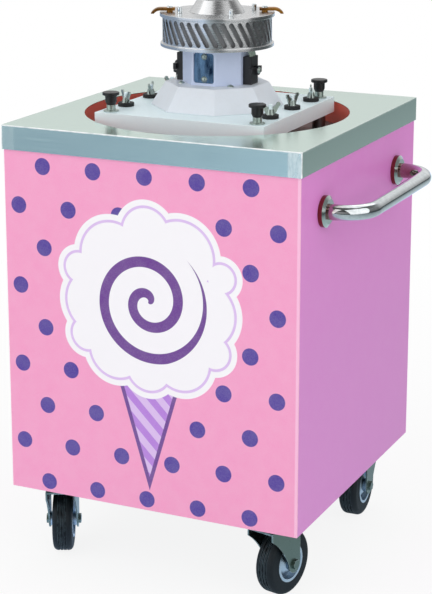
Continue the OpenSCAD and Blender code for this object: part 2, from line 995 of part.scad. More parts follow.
module caster_fork_fl() {
  color("silver")
    caster_fork(0);
}

module caster_fork_fr() {
  color("silver")
    caster_fork(1);
}

module caster_fork_bl() {
  color("silver")
    caster_fork(2);
}

module caster_fork_br() {
  color("silver")
    caster_fork(3);
}

// Half profile of a wheel disc, which thickens from the barrel to the hub
module disc_profile() {
  barrel_mid = (rim_d - rim_t) / 2;
  polygon([
    [axle_r + run_gap, -disc_hub_w / 2],
    [hub_d / 2, -disc_hub_w / 2],
    [barrel_mid, -disc_t / 2],
    [barrel_mid, disc_t / 2],
    [hub_d / 2, disc_hub_w / 2],
    [axle_r + run_gap, disc_hub_w / 2]
  ]);
}

module wheel_rim(i) {
  at_wheel(i)
    rotate_extrude() {
      profile_band(axle_r + run_gap, hub_d / 2, hub_w);
      disc_profile();
      profile_band(rim_d / 2 - rim_t, rim_d / 2, rim_w);
    }
}

module wheel_rim_fl() {
  color("lightsteelblue")
    wheel_rim(0);
}

module wheel_rim_fr() {
  color("lightsteelblue")
    wheel_rim(1);
}

module wheel_rim_bl() {
  color("lightsteelblue")
    wheel_rim(2);
}

module wheel_rim_br() {
  color("lightsteelblue")
    wheel_rim(3);
}

module wheel_tyre(i) {
  inner_w = tyre_w - 2 * tyre_shoulder;
  groove_step = inner_w / groove_n;
  at_wheel(i)
    rotate_extrude()
      difference() {
        union() {
          profile_band(rim_d / 2, wheel_r - tyre_shoulder, tyre_w);
          profile_band(rim_d / 2, wheel_r, inner_w);
          for (s = [-1, 1])
            translate([wheel_r - tyre_shoulder, s * inner_w / 2])
              circle(r = tyre_shoulder);
        }
        for (k = [0:groove_n - 1])
          translate([wheel_r - groove_w, (k + 0.5) * groove_step - inner_w / 2 - groove_w / 2])
            square([groove_w + overrun, groove_w]);
      }
}

module wheel_tyre_fl() {
  color("black")
    wheel_tyre(0);
}

module wheel_tyre_fr() {
  color("black")
    wheel_tyre(1);
}

module wheel_tyre_bl() {
  color("black")
    wheel_tyre(2);
}

module wheel_tyre_br() {
  color("black")
    wheel_tyre(3);
}

// Controls on the back

module switch_frame() {
  body = [switch_size[0] - switch_rim, switch_size[1] - switch_rim];
  color("black")
    on_cart()
      translate([switch_x, 0, fascia_mid])
        difference() {
          union() {
            box(
              span(0, switch_size[0]),
              [rear_o, rear_o + switch_flange],
              span(0, switch_size[1])
            );
            box(span(0, body[0]), [rear_i - switch_depth, rear_o + switch_flange], span(0, body[1]));
          }
          box(
            mirrored(switch_half[0]),
            [rear_i - switch_depth + switch_rim, rear_o + switch_flange + overrun],
            mirrored(switch_half[1])
          );
          rotate([0, 90, 0])
            translate([0, rear_i, 0])
              cylinder(d = rocker_pin_d + 2 * run_gap, h = switch_size[0], center = true);
        }
}

// Rocker: a bar with a creased face that tips about its pivot
module switch_rocker() {
  face = panel_t + rocker_out;
  pin_half = switch_half[0] + switch_rim / 4;
  color("firebrick")
    on_cart()
      translate([switch_x, rear_i, fascia_mid]) {
        rotate([rocker_tilt, 0, 0])
          rotate([90, 0, 90])
            linear_extrude(height = 2 * rocker_half[0], center = true)
              polygon([
                [-rocker_pin_d, -rocker_half[1]],
                [face, -rocker_half[1]],
                [face - rocker_crease, 0],
                [face, rocker_half[1]],
                [-rocker_pin_d, rocker_half[1]]
              ]);
        rotate([0, 90, 0])
          cylinder(d = rocker_pin_d, h = 2 * pin_half, center = true);
      }
}

module heat_dial() {
  color("black")
    on_cart()
      translate([0, rear_o, fascia_mid]) {
        rotate([-90, 0, 0])
          translate([0, 0, face_gap])
            cylinder(d = dial_d, h = dial_h);
        rotate([90, 0, 0])
          translate([0, 0, -face_gap - dial_h / 2])
            cylinder(d = dial_shaft_d, h = face_gap + dial_h / 2 + panel_t + dial_shaft);
        box(
          span(0, dial_rib[0]),
          [dial_h / 2, face_gap + dial_h + dial_rib[1]],
          [0, dial_rib[2]]
        );
      }
}

module inlet_socket() {
  body = [inlet_size[0] - 2 * inlet_rim, inlet_size[1] - 2 * inlet_rim];
  back = rear_o + inlet_flange - inlet_depth;
  color("black")
    on_cart()
      translate([inlet_x, 0, fascia_mid]) {
        difference() {
          union() {
            box(
              span(0, inlet_size[0]),
              [rear_o, rear_o + inlet_flange],
              span(0, inlet_size[1])
            );
            box(span(0, body[0]), [back, rear_o + inlet_flange], span(0, body[1]));
          }
          box(
            span(0, body[0] - 2 * inlet_wall),
            [back + inlet_wall, rear_o + inlet_flange + overrun],
            span(0, body[1] - 2 * inlet_wall)
          );
        }
        for (k = [-1:1])
          box(
            span(k * blade_step, blade_size[0]),
            [back + inlet_wall, back + inlet_wall + blade_size[1]],
            span(0, blade_size[2])
          );
      }
}

// Drive plate and its fastenings

// Folded plate with the bowl studs welded to it
module base_plate() {
  color("ghostwhite")
    on_cart() {
      difference() {
        box(mirrored(plate_half), mirrored(plate_half), [plate_z - plate_skirt, plate_z]);
        box(
          mirrored(plate_half - plate_t),
          mirrored(plate_half - plate_t),
          [plate_z - plate_skirt - overrun, plate_under]
        );
        rod(motor_d / 2 + motor_gap, [plate_under - overrun, plate_z + overrun]);
        for (i = [0:3])
          at_plunger(i)
            rod(spigot_d / 2, [plate_under - overrun, plate_z + overrun]);
      }
      at_bowl_studs()
        rod(stud_d / 2, [join_gap, stud_h]);
    }
}

module plunger_bodies() {
  color("silver")
    on_cart()
      for (i = [0:3])
        at_plunger(i)
          difference() {
            union() {
              rod(collar_d / 2, [plate_z, plate_z + collar_h]);
              rod(shank_d / 2, [plate_z, knob_z]);
              rod(spigot_d / 2, [plate_under, plate_z + collar_h]);
            }
            rod(pin_d / 2 + run_gap, [plate_under - overrun, knob_z + overrun]);
          }
}

// Pull knob with its locking pin
module lock_knob(i) {
  head_z = knob_z + knob_stem_h;
  on_cart()
    at_plunger(i) {
      rod(pin_d / 2, [plate_under - pin_reach, head_z]);
      translate([0, 0, knob_z])
        cylinder(d1 = shank_d, d2 = knob_stem_d, h = knob_head);
      rod(knob_stem_d / 2, [knob_z + knob_head, head_z]);
      rod(knob_d / 2, [head_z, head_z + knob_head]);
    }
}

module lock_knob_fl() {
  color("black")
    lock_knob(0);
}

module lock_knob_fr() {
  color("black")
    lock_knob(1);
}

module lock_knob_bl() {
  color("black")
    lock_knob(2);
}

module lock_knob_br() {
  color("black")
    lock_knob(3);
}

module buffer_washers() {
  color("black")
    on_cart()
      at_bowl_studs()
        ring(stud_d / 2 + stud_gap, washer_d / 2, [0, washer_h]);
}

// One wing of a wing nut, seen from the side: X outwards, Y up
module wing_outline() {
  polygon([
    [0, 0],
    [wing_hub_d / 2, 0],
    [wing_reach + wing_tip_r, wing_top - wing_tip_r],
    [wing_reach - wing_tip_r, wing_top - wing_tip_r],
    [0, wing_hub_h]
  ]);
  translate([wing_reach, wing_top - wing_tip_r])
    circle(r = wing_tip_r);
}

module wing_nuts() {
  color("gainsboro")
    on_cart()
      at_bowl_studs()
        translate([0, 0, washer_h])
          difference() {
            union() {
              cylinder(d1 = wing_hub_d, d2 = wing_hub_top_d, h = wing_hub_h);
              for (turn = [0, 180])
                rotate(turn)
                  rotate([90, 0, 0])
                    linear_extrude(height = wing_t, center = true)
                      wing_outline();
            }
            rod(stud_d / 2 + stud_gap, [-overrun, wing_top + overrun]);
          }
}

// Drive housing and brush gear

module drive_housing() {
  slope = (housing_r - housing_top_r) / housing_h;
  inner_h = housing_h - housing_t;
  color("ghostwhite")
    on_cart()
      translate([0, 0, plate_z])
        difference() {
          rotate(half_side)
            cylinder(r1 = housing_r, r2 = housing_top_r, h = housing_h, $fn = 8);
          translate([0, 0, -overrun])
            rotate(half_side)
              cylinder(
                r1 = housing_r - housing_t + slope * overrun,
                r2 = housing_r - housing_t - slope * inner_h,
                h = inner_h + overrun,
                $fn = 8
              );
          rod(slip_d / 2, [0, housing_h + overrun]);
        }
}

// Rounded window opening: X across, Y up, about its middle
module window_outline() {
  high = column_h - 2 * window_set;
  square([window_w, high - 2 * window_r], center = true);
  square([window_w - 2 * window_r, high], center = true);
  for (sx = [-1, 1], sy = [-1, 1])
    translate([sx * (window_w / 2 - window_r), sy * (high / 2 - window_r)])
      circle(r = window_r);
}

module brush_column() {
  color("lavender")
    on_cart()
      difference() {
        eight_sided(column_r, [column_z, column_z + column_h]);
        eight_sided(
          column_in / cos(half_side),
          [column_z - overrun, column_z + column_h + overrun]
        );
        translate([0, -column_in + overrun, window_mid])
          rotate([90, 0, 0])
            linear_extrude(height = column_t + 2 * overrun)
              window_outline();
        for (k = [0, 1])
          at_block(k)
            box(
              [column_in - overrun, column_flat + overrun],
              span(0, brush_w + 2 * brush_gap),
              span(brush_zs[k], brush_w + 2 * brush_gap)
            );
      }
}

module window_plate() {
  color("slategray")
    on_cart()
      box(
        span(0, window_plate_w),
        [-column_in, -column_in + window_plate_t],
        [column_z, column_z + column_h]
      );
}

module column_screws() {
  color("silver")
    on_cart() {
      for (k = [0:3])
        rotate(90 * k + 45)
          translate([column_flat + foot_screw_set, 0, column_z])
            screw_head(screw_d, screw_h);
      for (s = [-1, 1])
        translate([0, -column_in, window_mid + s * window_screw_z])
          rotate([90, 0, 0])
            screw_head(screw_d, screw_h);
      for (k = [0, 1])
        at_block(k)
          translate([block_face + clamp_size[0] + cap_h, 0, clamp_z])
            rotate([0, 90, 0])
              screw_head(screw_d, screw_h);
    }
}

module brush_blocks() {
  color("black")
    on_cart()
      for (k = [0, 1])
        at_block(k) {
          difference() {
            union() {
              box([column_flat, block_face], span(0, block_size[1]), [column_z, block_z]);
              box(
                [block_face - overrun, block_face + clamp_size[0]],
                span(0, clamp_size[1]),
                span(clamp_z, clamp_size[2])
              );
              translate([block_face, 0, clamp_z])
                rotate([0, 90, 0])
                  cylinder(d = cap_d, h = clamp_size[0] + cap_h);
            }
            box(
              [column_flat - overrun, column_flat + brush_in],
              span(0, brush_w + 2 * brush_gap),
              span(brush_zs[k], brush_w + 2 * brush_gap)
            );
          }
        }
}

module carbon_brushes() {
  color("dimgray")
    on_cart()
      for (k = [0, 1])
        at_block(k)
          box(
            [slip_d / 2 + brush_tip_gap, column_flat + brush_in],
            span(0, brush_w),
            span(brush_zs[k], brush_w)
          );
}

// Short leads that rise from a block and turn into the column
module brush_leads() {
  color("darkseagreen")
    on_cart()
      for (k = [0, 1], n = [0:lead_n - 1])
        at_block(k)
          translate([column_flat, (n - (lead_n - 1) / 2) * lead_step, block_z])
            rotate([90, 0, 0])
              rotate_extrude(angle = 90)
                translate([lead_bend, 0])
                  circle(d = lead_d);
}

// Motor

module motor_body() {
  r = motor_d / 2;
  color("darkslategray")
    on_cart()
      difference() {
        rod(r, [motor_z, motor_z + motor_h]);
        rod(r - motor_wall, [motor_z + motor_end, motor_z + motor_h - motor_end]);
        rod(bearing_d / 2, [motor_z - overrun, motor_z + bearing_w]);
        rod(bearing_d / 2, [motor_z + motor_h - bearing_w, motor_z + motor_h + overrun]);
        rod(spindle_d / 2 + motor_shaft_gap, [motor_z, motor_z + motor_h]);
      }
}

module motor_bearings() {
  color("lightgray")
    on_cart()
      for (z = [motor_z, motor_z + motor_h - bearing_w])
        ring(spindle_d / 2 + run_gap, bearing_d / 2, [z, z + bearing_w]);
}

// Spinner

module spindle() {
  color("lightgray")
    on_cart() {
      rod(spindle_d / 2, [motor_z, wall_z]);
      rod(rotor_d / 2, span(motor_z + motor_h / 2, rotor_h));
    }
}

module slip_rings() {
  color("goldenrod")
    on_cart() {
      ring(spindle_d / 2, sleeve_d / 2, [column_z, column_z + 2 * slip_step]);
      for (z = brush_zs)
        ring(sleeve_d / 2 + join_gap, slip_d / 2, span(z, slip_h));
    }
}

module drum_floor() {
  color("silver")
    on_cart()
      difference() {
        union() {
          rod(drum_floor_r, [drum_z, wall_z]);
          rod(drum_hub_d / 2, [drum_z - drum_hub_h, wall_z]);
        }
        rod(spindle_d / 2, [drum_z - drum_hub_h - overrun, wall_z + overrun]);
        at_tie_rods()
          rod(tie_d / 2 + tie_gap, [drum_z - overrun, wall_z + overrun]);
      }
}

// Leaning slot with round ends: X along its length
module slot_outline(length) {
  square([length - slot_w, slot_w], center = true);
  for (s = [-1, 1])
    translate([s * (length - slot_w) / 2, 0])
      circle(d = slot_w);
}

module drum_wall() {
  // Length at which the round ends of a leaning slot keep their distance to the wall's ends
  length = (drum_h - 2 * slot_set - slot_w) / cos(slot_lean) + slot_w;
  color("gainsboro")
    on_cart()
      difference() {
        ring(drum_r - drum_wall_t, drum_r, [wall_z, cover_z]);
        for (k = [0:slot_n - 1])
          rotate(360 * k / slot_n)
            translate([drum_r - drum_wall_t / 2, 0, wall_z + drum_h / 2])
              rotate([slot_lean, 0, 0])
                rotate([0, 90, 0])
                  linear_extrude(height = drum_wall_t + 2 * overrun, center = true)
                    slot_outline(length);
      }
}

module heater_band() {
  color("gray")
    on_cart()
      ring(heater_r - heater_t, heater_r, [wall_z, cover_z]);
}

module drum_cover() {
  color("silver")
    on_cart()
      difference() {
        ring(sugar_hole_r, cover_r, [cover_z, cone_z]);
        at_tie_rods()
          rod(tie_d / 2 + tie_gap, [cover_z - overrun, cone_z + overrun]);
      }
}

module sugar_cone() {
  color("gainsboro")
    on_cart()
      translate([0, 0, cone_z])
        rotate_extrude()
          polygon([
            [cone_r - cone_t, 0],
            [cone_r, 0],
            [cone_top_r, cone_h],
            [cone_top_r - cone_t, cone_h]
          ]);
}

// Rods that hold the cover to the floor, with the screws of the floss wings
module tie_rods() {
  color("whitesmoke")
    on_cart() {
      at_tie_rods() {
        rod(tie_d / 2, [drum_z, cone_z]);
        rod(tie_cap_d / 2, [cone_z, cone_z + tie_cap_h]);
        translate([0, 0, cone_z + tie_cap_h])
          screw_head(tie_cap_d, tie_dome);
      }
      for (turn = [0, 180])
        rotate(fin_angle + turn)
          translate([fin_screw_at, 0, cone_z + fin_lift + fin_t])
            screw_head(screw_d, screw_h);
    }
}

// Side view of a floss wing: X outwards from the axis, Y up from the cover
module fin_outline() {
  crest = fin_lift + fin_t;
  translate([fin_in, fin_lift])
    square([fin_bend_at - fin_in, fin_t]);
  intersection() {
    translate([fin_bend_at, crest - fin_bend])
      difference() {
        circle(r = fin_bend);
        circle(r = fin_bend - fin_t);
      }
    translate([fin_bend_at, crest - fin_drop])
      square([fin_bend, fin_drop]);
  }
}

module floss_wings() {
  color("peru")
    on_cart()
      for (turn = [0, 180])
        rotate(fin_angle + turn)
          translate([0, 0, cone_z]) {
            rotate([90, 0, 0])
              linear_extrude(height = fin_w, center = true)
                fin_outline();
            translate([fin_screw_at, 0, 0])
              rod(fin_foot_d / 2, [0, fin_lift + fin_t / 2]);
          }
}

floor_panel();
frame();
front_panel();
left_panel();
right_panel();
rear_fascia();
rear_door();
hinge_fixed_leaves();
hinge_door_leaves();
door_pull();
door_catch();
steel_top();
well_ring();
well_deck();
handle_tube();
handle_flanges();
caster_plates();
caster_bolts();
caster_fork_fl();
caster_fork_fr();
caster_fork_bl();
caster_fork_br();
wheel_rim_fl();
wheel_rim_fr();
wheel_rim_bl();
wheel_rim_br();
wheel_tyre_fl();
wheel_tyre_fr();
wheel_tyre_bl();
wheel_tyre_br();
switch_frame();
switch_rocker();
heat_dial();
inlet_socket();
base_plate();
plunger_bodies();
lock_knob_fl();
lock_knob_fr();
lock_knob_bl();
lock_knob_br();
buffer_washers();
wing_nuts();
drive_housing();
brush_column();
window_plate();
column_screws();
brush_blocks();
carbon_brushes();
brush_leads();
motor_body();
motor_bearings();
spindle();
slip_rings();
drum_floor();
drum_wall();
heater_band();
drum_cover();
sugar_cone();
tie_rods();
floss_wings();
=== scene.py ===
"""Looks of a cotton candy cart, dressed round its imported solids. Lengths are in metres."""

import json
import math

import bmesh
import bpy
from mathutils import Matrix, Vector


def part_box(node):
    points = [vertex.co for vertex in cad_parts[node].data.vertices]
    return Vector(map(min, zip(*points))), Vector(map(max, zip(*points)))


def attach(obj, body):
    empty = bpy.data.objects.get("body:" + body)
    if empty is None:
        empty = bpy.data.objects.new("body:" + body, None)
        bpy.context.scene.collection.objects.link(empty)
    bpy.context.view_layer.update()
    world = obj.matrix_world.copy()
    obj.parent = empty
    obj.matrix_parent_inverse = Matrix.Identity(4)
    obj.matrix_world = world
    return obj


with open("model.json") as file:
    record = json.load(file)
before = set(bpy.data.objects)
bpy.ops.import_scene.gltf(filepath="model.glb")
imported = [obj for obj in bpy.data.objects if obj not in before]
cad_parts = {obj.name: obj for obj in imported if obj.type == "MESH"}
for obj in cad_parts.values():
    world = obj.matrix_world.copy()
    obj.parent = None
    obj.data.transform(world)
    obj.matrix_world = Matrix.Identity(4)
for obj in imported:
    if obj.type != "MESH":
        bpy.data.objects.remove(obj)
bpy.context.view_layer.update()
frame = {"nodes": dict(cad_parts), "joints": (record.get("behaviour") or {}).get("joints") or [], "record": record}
nodes = frame["nodes"]

# Camera

CAMERA_EYE = Vector((1.3950, -3.0833, 1.4917))
CAMERA_TARGET = Vector((-0.04585, 0.0, 0.6660))
CAMERA_LENS = 109.0
SENSOR_LONG_SIDE = 36.0
CAMERA_SHIFT_Y = -0.145
CAMERA_FAR = 200.0


def make_camera():
    data = bpy.data.cameras.new("photo_camera")
    data.sensor_fit = "AUTO"
    data.sensor_width = SENSOR_LONG_SIDE
    data.lens = CAMERA_LENS
    data.shift_y = CAMERA_SHIFT_Y
    data.clip_end = CAMERA_FAR
    camera = bpy.data.objects.new("photo_camera", data)
    bpy.context.scene.collection.objects.link(camera)
    camera.location = CAMERA_EYE
    camera.rotation_euler = (CAMERA_TARGET - CAMERA_EYE).to_track_quat("-Z", "Y").to_euler()
    bpy.context.scene.camera = camera


make_camera()

# Places taken from the solids

CART_X = sum(corner.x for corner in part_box("steel_top")) / 2
DIAL_LOW, DIAL_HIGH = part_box("heat_dial")
FASCIA_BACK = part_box("rear_fascia")[1].y

# Colours, as linear values


def srgb(red, green, blue):
    """Linear colour of a screen colour given from 0 to 255."""
    parts = [
        v / 12.92 if v <= 0.04045 else ((v + 0.055) / 1.055) ** 2.4
        for v in (red / 255, green / 255, blue / 255)
    ]
    return (*parts, 1.0)


PINK = srgb(250, 159, 202)
# Pale pink of worn film edges, and of the painted highlight along the front panel's right edge
PINK_WEAR_AND_HIGHLIGHT = srgb(255, 190, 222)
VIOLET_DOT = srgb(72, 36, 152)
PURPLE = srgb(104, 40, 142)
LILAC = srgb(184, 123, 222)
PALE_LILAC = srgb(222, 190, 240)
PRINT_WHITE = srgb(252, 250, 253)
SIDE_LILAC = srgb(224, 136, 214)
HIGH_LILAC = srgb(232, 134, 216)
BOARD_BACK = srgb(222, 218, 220)

# Shader building


def put(tree, socket, value):
    """Links a socket to a socket, or sets its constant."""
    if isinstance(value, bpy.types.NodeSocket):
        tree.links.new(value, socket)
    else:
        socket.default_value = value


def add(tree, kind, inputs=None, **settings):
    node = tree.nodes.new(kind)
    for key, value in settings.items():
        setattr(node, key, value)
    for key, value in (inputs or {}).items():
        put(tree, node.inputs[key], value)
    return node


def calc(tree, operation, a, b=0.0, c=0.0, clamp=False):
    node = add(tree, "ShaderNodeMath", {0: a, 1: b, 2: c}, operation=operation)
    node.use_clamp = clamp
    return node.outputs[0]


def one_minus(tree, value):
    return calc(tree, "SUBTRACT", 1.0, value)


def blend(tree, a, b, share):
    """A share of a with the rest of b."""
    return calc(tree, "MULTIPLY_ADD", a, share, calc(tree, "MULTIPLY", b, 1 - share))


NUMBER_RESULTS = ("DOT_PRODUCT", "LENGTH", "DISTANCE")


def vector_calc(tree, operation, *vectors):
    node = add(tree, "ShaderNodeVectorMath", dict(enumerate(vectors)), operation=operation)
    return node.outputs["Value" if operation in NUMBER_RESULTS else "Vector"]


def parts_of(tree, vector):
    return add(tree, "ShaderNodeSeparateXYZ", {0: vector}).outputs


def vector_of(tree, *parts):
    return add(tree, "ShaderNodeCombineXYZ", dict(enumerate(parts))).outputs[0]


def spread(tree, value, low, high, start=0.0, end=1.0):
    """Maps a value from start..end to low..high."""
    inputs = {"Value": value, "From Min": start, "From Max": end, "To Min": low, "To Max": high}
    return add(tree, "ShaderNodeMapRange", inputs).outputs["Result"]


def ramp(tree, value, levels):
    """Level along a run of places, straight between them."""
    places = sorted(levels)
    node = add(tree, "ShaderNodeValToRGB", {"Fac": spread(tree, value, 0.0, 1.0, places[0], places[-1])})
    stops = node.color_ramp.elements
    for place in places[1:-1]:
        stops.new((place - places[0]) / (places[-1] - places[0]))
    for stop, place in zip(stops, places):
        stop.color = (levels[place], levels[place], levels[place], 1.0)
    return node.outputs["Color"]


def mix(tree, factor, a, b):
    """Colour between a and b."""
    node = add(tree, "ShaderNodeMix", data_type="RGBA")
    put(tree, node.inputs[0], factor)
    put(tree, node.inputs[6], a)
    put(tree, node.inputs[7], b)
    return node.outputs[2]


def object_place(tree):
    return add(tree, "ShaderNodeTexCoord").outputs["Object"]


def place_from_axis(tree):
    """Parts of the place on the object, measured from the upright axis of the spinner."""
    return parts_of(tree, vector_calc(tree, "SUBTRACT", object_place(tree), (CART_X, 0.0, 0.0)))


def facing(tree):
    """Parts of the direction that a face looks in."""
    return parts_of(tree, add(tree, "ShaderNodeNewGeometry").outputs["Normal"])


def noise(tree, vector, scale, detail=3.0, roughness=0.55):
    inputs = {"Vector": vector, "Scale": scale, "Detail": detail, "Roughness": roughness}
    return add(tree, "ShaderNodeTexNoise", inputs).outputs[0]


def new_group(name, inputs, outputs):
    """Empty shader group with named sockets; returns the group, its input and its output node."""
    group = bpy.data.node_groups.new(name, "ShaderNodeTree")
    for label, kind, value in inputs:
        socket = group.interface.new_socket(label, in_out="INPUT", socket_type=kind)
        socket.default_value = value
    for label, kind in outputs:
        group.interface.new_socket(label, in_out="OUTPUT", socket_type=kind)
    return group, group.nodes.new("NodeGroupInput"), group.nodes.new("NodeGroupOutput")


FLOAT = "NodeSocketFloat"
COLOUR = "NodeSocketColor"


def use_group(tree, group, **values):
    node = add(tree, "ShaderNodeGroup", node_tree=group)
    for label, value in values.items():
        put(tree, node.inputs[label], value)
    return node.outputs[0]


# Effects that several finishes share
# A run is the level at its start and at its end, and then the two values it lies between

WEAR_SAMPLES = 4
WEAR_RUN = (0.0, 5.0, 0.38, 0.66)
COARSE_GRAIN = 0.09
FINE_SHARE = 0.6
SIDE_FACE = 0.6
DUST_PATCHES = 38.0
DUST_RUN = (0.0, 1.0, 0.42, 0.72)


def worn_edges_group():
    """Mask of the outer edges, broken up by noise."""
    inputs = [("Radius", FLOAT, 0.002), ("Breakup", FLOAT, 90.0)]
    group, given, result = new_group("worn_edges", inputs, [("Mask", FLOAT)])
    rounded = add(group, "ShaderNodeBevel", {"Radius": given.outputs["Radius"]}, samples=WEAR_SAMPLES)
    flat = add(group, "ShaderNodeNewGeometry").outputs["Normal"]
    edge = one_minus(group, vector_calc(group, "DOT_PRODUCT", rounded.outputs[0], flat))
    patches = noise(group, object_place(group), given.outputs["Breakup"])
    share = spread(group, patches, *WEAR_RUN)
    put(group, result.inputs["Mask"], calc(group, "MULTIPLY", edge, share, clamp=True))
    return group


def fine_grain_group():
    """Even grain about one half."""
    group, given, result = new_group("fine_grain", [("Scale", FLOAT, 300.0)], [("Grain", FLOAT)])
    place = object_place(group)
    small = noise(group, place, given.outputs["Scale"], detail=4.0)
    coarse_scale = calc(group, "MULTIPLY", given.outputs["Scale"], COARSE_GRAIN)
    large = noise(group, place, coarse_scale, detail=2.0)
    put(group, result.inputs["Grain"], blend(group, small, large, FINE_SHARE))
    return group


def brushed_lines_group():
    """Fine lines drawn out along X on faces that look to the front or up, and along Y on side faces."""
    inputs = [("Along", FLOAT, 6.0), ("Across", FLOAT, 900.0)]
    group, given, result = new_group("brushed_lines", inputs, [("Lines", FLOAT)])
    place = object_place(group)
    along, across = given.outputs["Along"], given.outputs["Across"]
    layers = []
    for order in ((along, across, across), (across, along, across)):
        drawn_out = vector_calc(group, "MULTIPLY", place, vector_of(group, *order))
        layers.append(noise(group, drawn_out, 1.0, detail=2.0))
    chosen = calc(group, "GREATER_THAN", calc(group, "ABSOLUTE", facing(group)[0]), SIDE_FACE)
    change = calc(group, "SUBTRACT", layers[1], layers[0])
    put(group, result.inputs["Lines"], calc(group, "MULTIPLY_ADD", change, chosen, layers[0]))
    return group


def turned_lines_group():
    """Fine rings about the upright axis of the spinner."""
    group, given, result = new_group("turned_lines", [("Across", FLOAT, 1100.0)], [("Lines", FLOAT)])
    x, y, z = place_from_axis(group)
    radius = vector_calc(group, "LENGTH", vector_of(group, x, y))
    angle = calc(group, "ARCTAN2", y, x)
    rings = calc(group, "MULTIPLY", radius, given.outputs["Across"])
    bands = calc(group, "MULTIPLY", z, given.outputs["Across"])
    drawn_out = vector_of(group, rings, bands, angle)
    put(group, result.inputs["Lines"], noise(group, drawn_out, 1.0, detail=2.0))
    return group


def settled_dust_group():
    """Mask of dust on faces that look up."""
    group, given, result = new_group("settled_dust", [("Amount", FLOAT, 0.2)], [("Mask", FLOAT)])
    upward = calc(group, "MAXIMUM", facing(group)[2], 0.0)
    patches = spread(group, noise(group, object_place(group), DUST_PATCHES, detail=5.0), *DUST_RUN)
    amount = calc(group, "MULTIPLY", patches, given.outputs["Amount"])
    put(group, result.inputs["Mask"], calc(group, "MULTIPLY", upward, amount, clamp=True))
    return group


WORN_EDGES = worn_edges_group()
FINE_GRAIN = fine_grain_group()
BRUSHED_LINES = brushed_lines_group()
TURNED_LINES = turned_lines_group()
SETTLED_DUST = settled_dust_group()

# Finishes

DUST_COLOUR = srgb(196, 190, 182)
BRIGHT_STEEL = srgb(236, 240, 242)
SHINY_BLACK = srgb(70, 70, 76)
# Values that the grain and the lines lie between
GRAIN = (0.3, 0.7)
LINES = (0.32, 0.68)
METAL_GRAIN = 120.0
LINE_SHARE = 0.65
LINE_DEPTH = 0.0002
TURNED_WEAR = 0.0012


def new_finish(name, **constants):
    """Material with one Principled shader; constants go straight on its sockets."""
    material = bpy.data.materials.new(name)
    material.use_nodes = True
    tree = material.node_tree
    tree.nodes.clear()
    shader = add(tree, "ShaderNodeBsdfPrincipled")
    output = add(tree, "ShaderNodeOutputMaterial")
    tree.links.new(shader.outputs[0], output.inputs["Surface"])
    for label, value in constants.items():
        shader.inputs[label.replace("_", " ")].default_value = value
    return material, tree, shader


def bump(tree, shader, height, strength, distance=0.0004):
    inputs = {"Height": height, "Strength": strength, "Distance": distance}
    node = add(tree, "ShaderNodeBump", inputs)
    tree.links.new(node.outputs[0], shader.inputs["Normal"])


def shade(colour, factor):
    return (*[min(1.0, part * factor) for part in colour[:3]], 1.0)


def toned(tree, tone, colour, vary):
    """A colour that varies about itself with a tone from 0 to 1."""
    return mix(tree, tone, shade(colour, 1 - vary), shade(colour, 1 + vary))


def worn(tree, surface, wear, radius):
    return mix(tree, use_group(tree, WORN_EDGES, Radius=radius), surface, wear)


def dusted(tree, surface, dust):
    return mix(tree, use_group(tree, SETTLED_DUST, Amount=dust), surface, DUST_COLOUR)


def coated(
    name, colour, rough, grain=320.0, vary=0.06, relief=0.12, wear=None, radius=0.0016, dust=0.0, **constants
):
    """Paint, plastic or rubber: a grained colour with worn edges and a little dust."""
    material, tree, shader = new_finish(name, **constants)
    grains = use_group(tree, FINE_GRAIN, Scale=grain)
    surface = toned(tree, spread(tree, grains, 0.0, 1.0, *GRAIN), colour, vary)
    if wear:
        surface = worn(tree, surface, wear, radius)
    if dust:
        surface = dusted(tree, surface, dust)
    put(tree, shader.inputs["Base Color"], surface)
    put(tree, shader.inputs["Roughness"], spread(tree, grains, *rough, *GRAIN))
    bump(tree, shader, grains, relief)
    return material


def brushed(
    name, colour, rough, along=6.0, across=900.0, vary=0.10, relief=0.10, wear=None, radius=0.0016, dust=0.0,
    painted_highlight=None, **constants
):
    """Drawn or ground metal with straight lines; an optional mask lays a painted highlight on as a matt pale
    colour.
    """
    material, tree, shader = new_finish(name, Metallic=1.0, **constants)
    lines = use_group(tree, BRUSHED_LINES, Along=along, Across=across)
    grains = use_group(tree, FINE_GRAIN, Scale=METAL_GRAIN)
    tone = spread(tree, blend(tree, lines, grains, LINE_SHARE), 0.0, 1.0, *LINES)
    surface = toned(tree, tone, colour, vary)
    if wear:
        surface = worn(tree, surface, wear, radius)
    if painted_highlight:
        edges = painted_highlight(tree)
        surface = mix(tree, edges, surface, HIGHLIGHT_STEEL)
        put(tree, shader.inputs["Metallic"], one_minus(tree, edges))
    if dust:
        surface = dusted(tree, surface, dust)
    put(tree, shader.inputs["Base Color"], surface)
    put(tree, shader.inputs["Roughness"], spread(tree, tone, *rough))
    bump(tree, shader, lines, relief, LINE_DEPTH)
    return material


# Colour of the painted highlight on the edges and front corners of the steel top
HIGHLIGHT_STEEL = srgb(252, 254, 254)
# Reach of the painted highlight strip from an edge of the top: in full, and where it has faded out
FOLD_HIGHLIGHT = (0.0012, 0.0030)
# How strong the strip is on the upper edges at the sides
SIDE_HIGHLIGHT = 0.25
HIGHLIGHT_PATCHES = 30.0
HIGHLIGHT_RUN = (0.5, 1.0, 0.35, 0.6)
# Reach of the painted highlight patches at the front corners, and how strong the left one is
CORNER_HIGHLIGHT = (0.0250, 0.0285)
LEFT_HIGHLIGHT = 0.3
CORNER_HIGHLIGHT_STREAKS = 110.0
CORNER_HIGHLIGHT_STRETCH = (1.0, 1.0, 0.3)
CORNER_HIGHLIGHT_RUN = (0.22, 0.45, 0.35, 0.65)


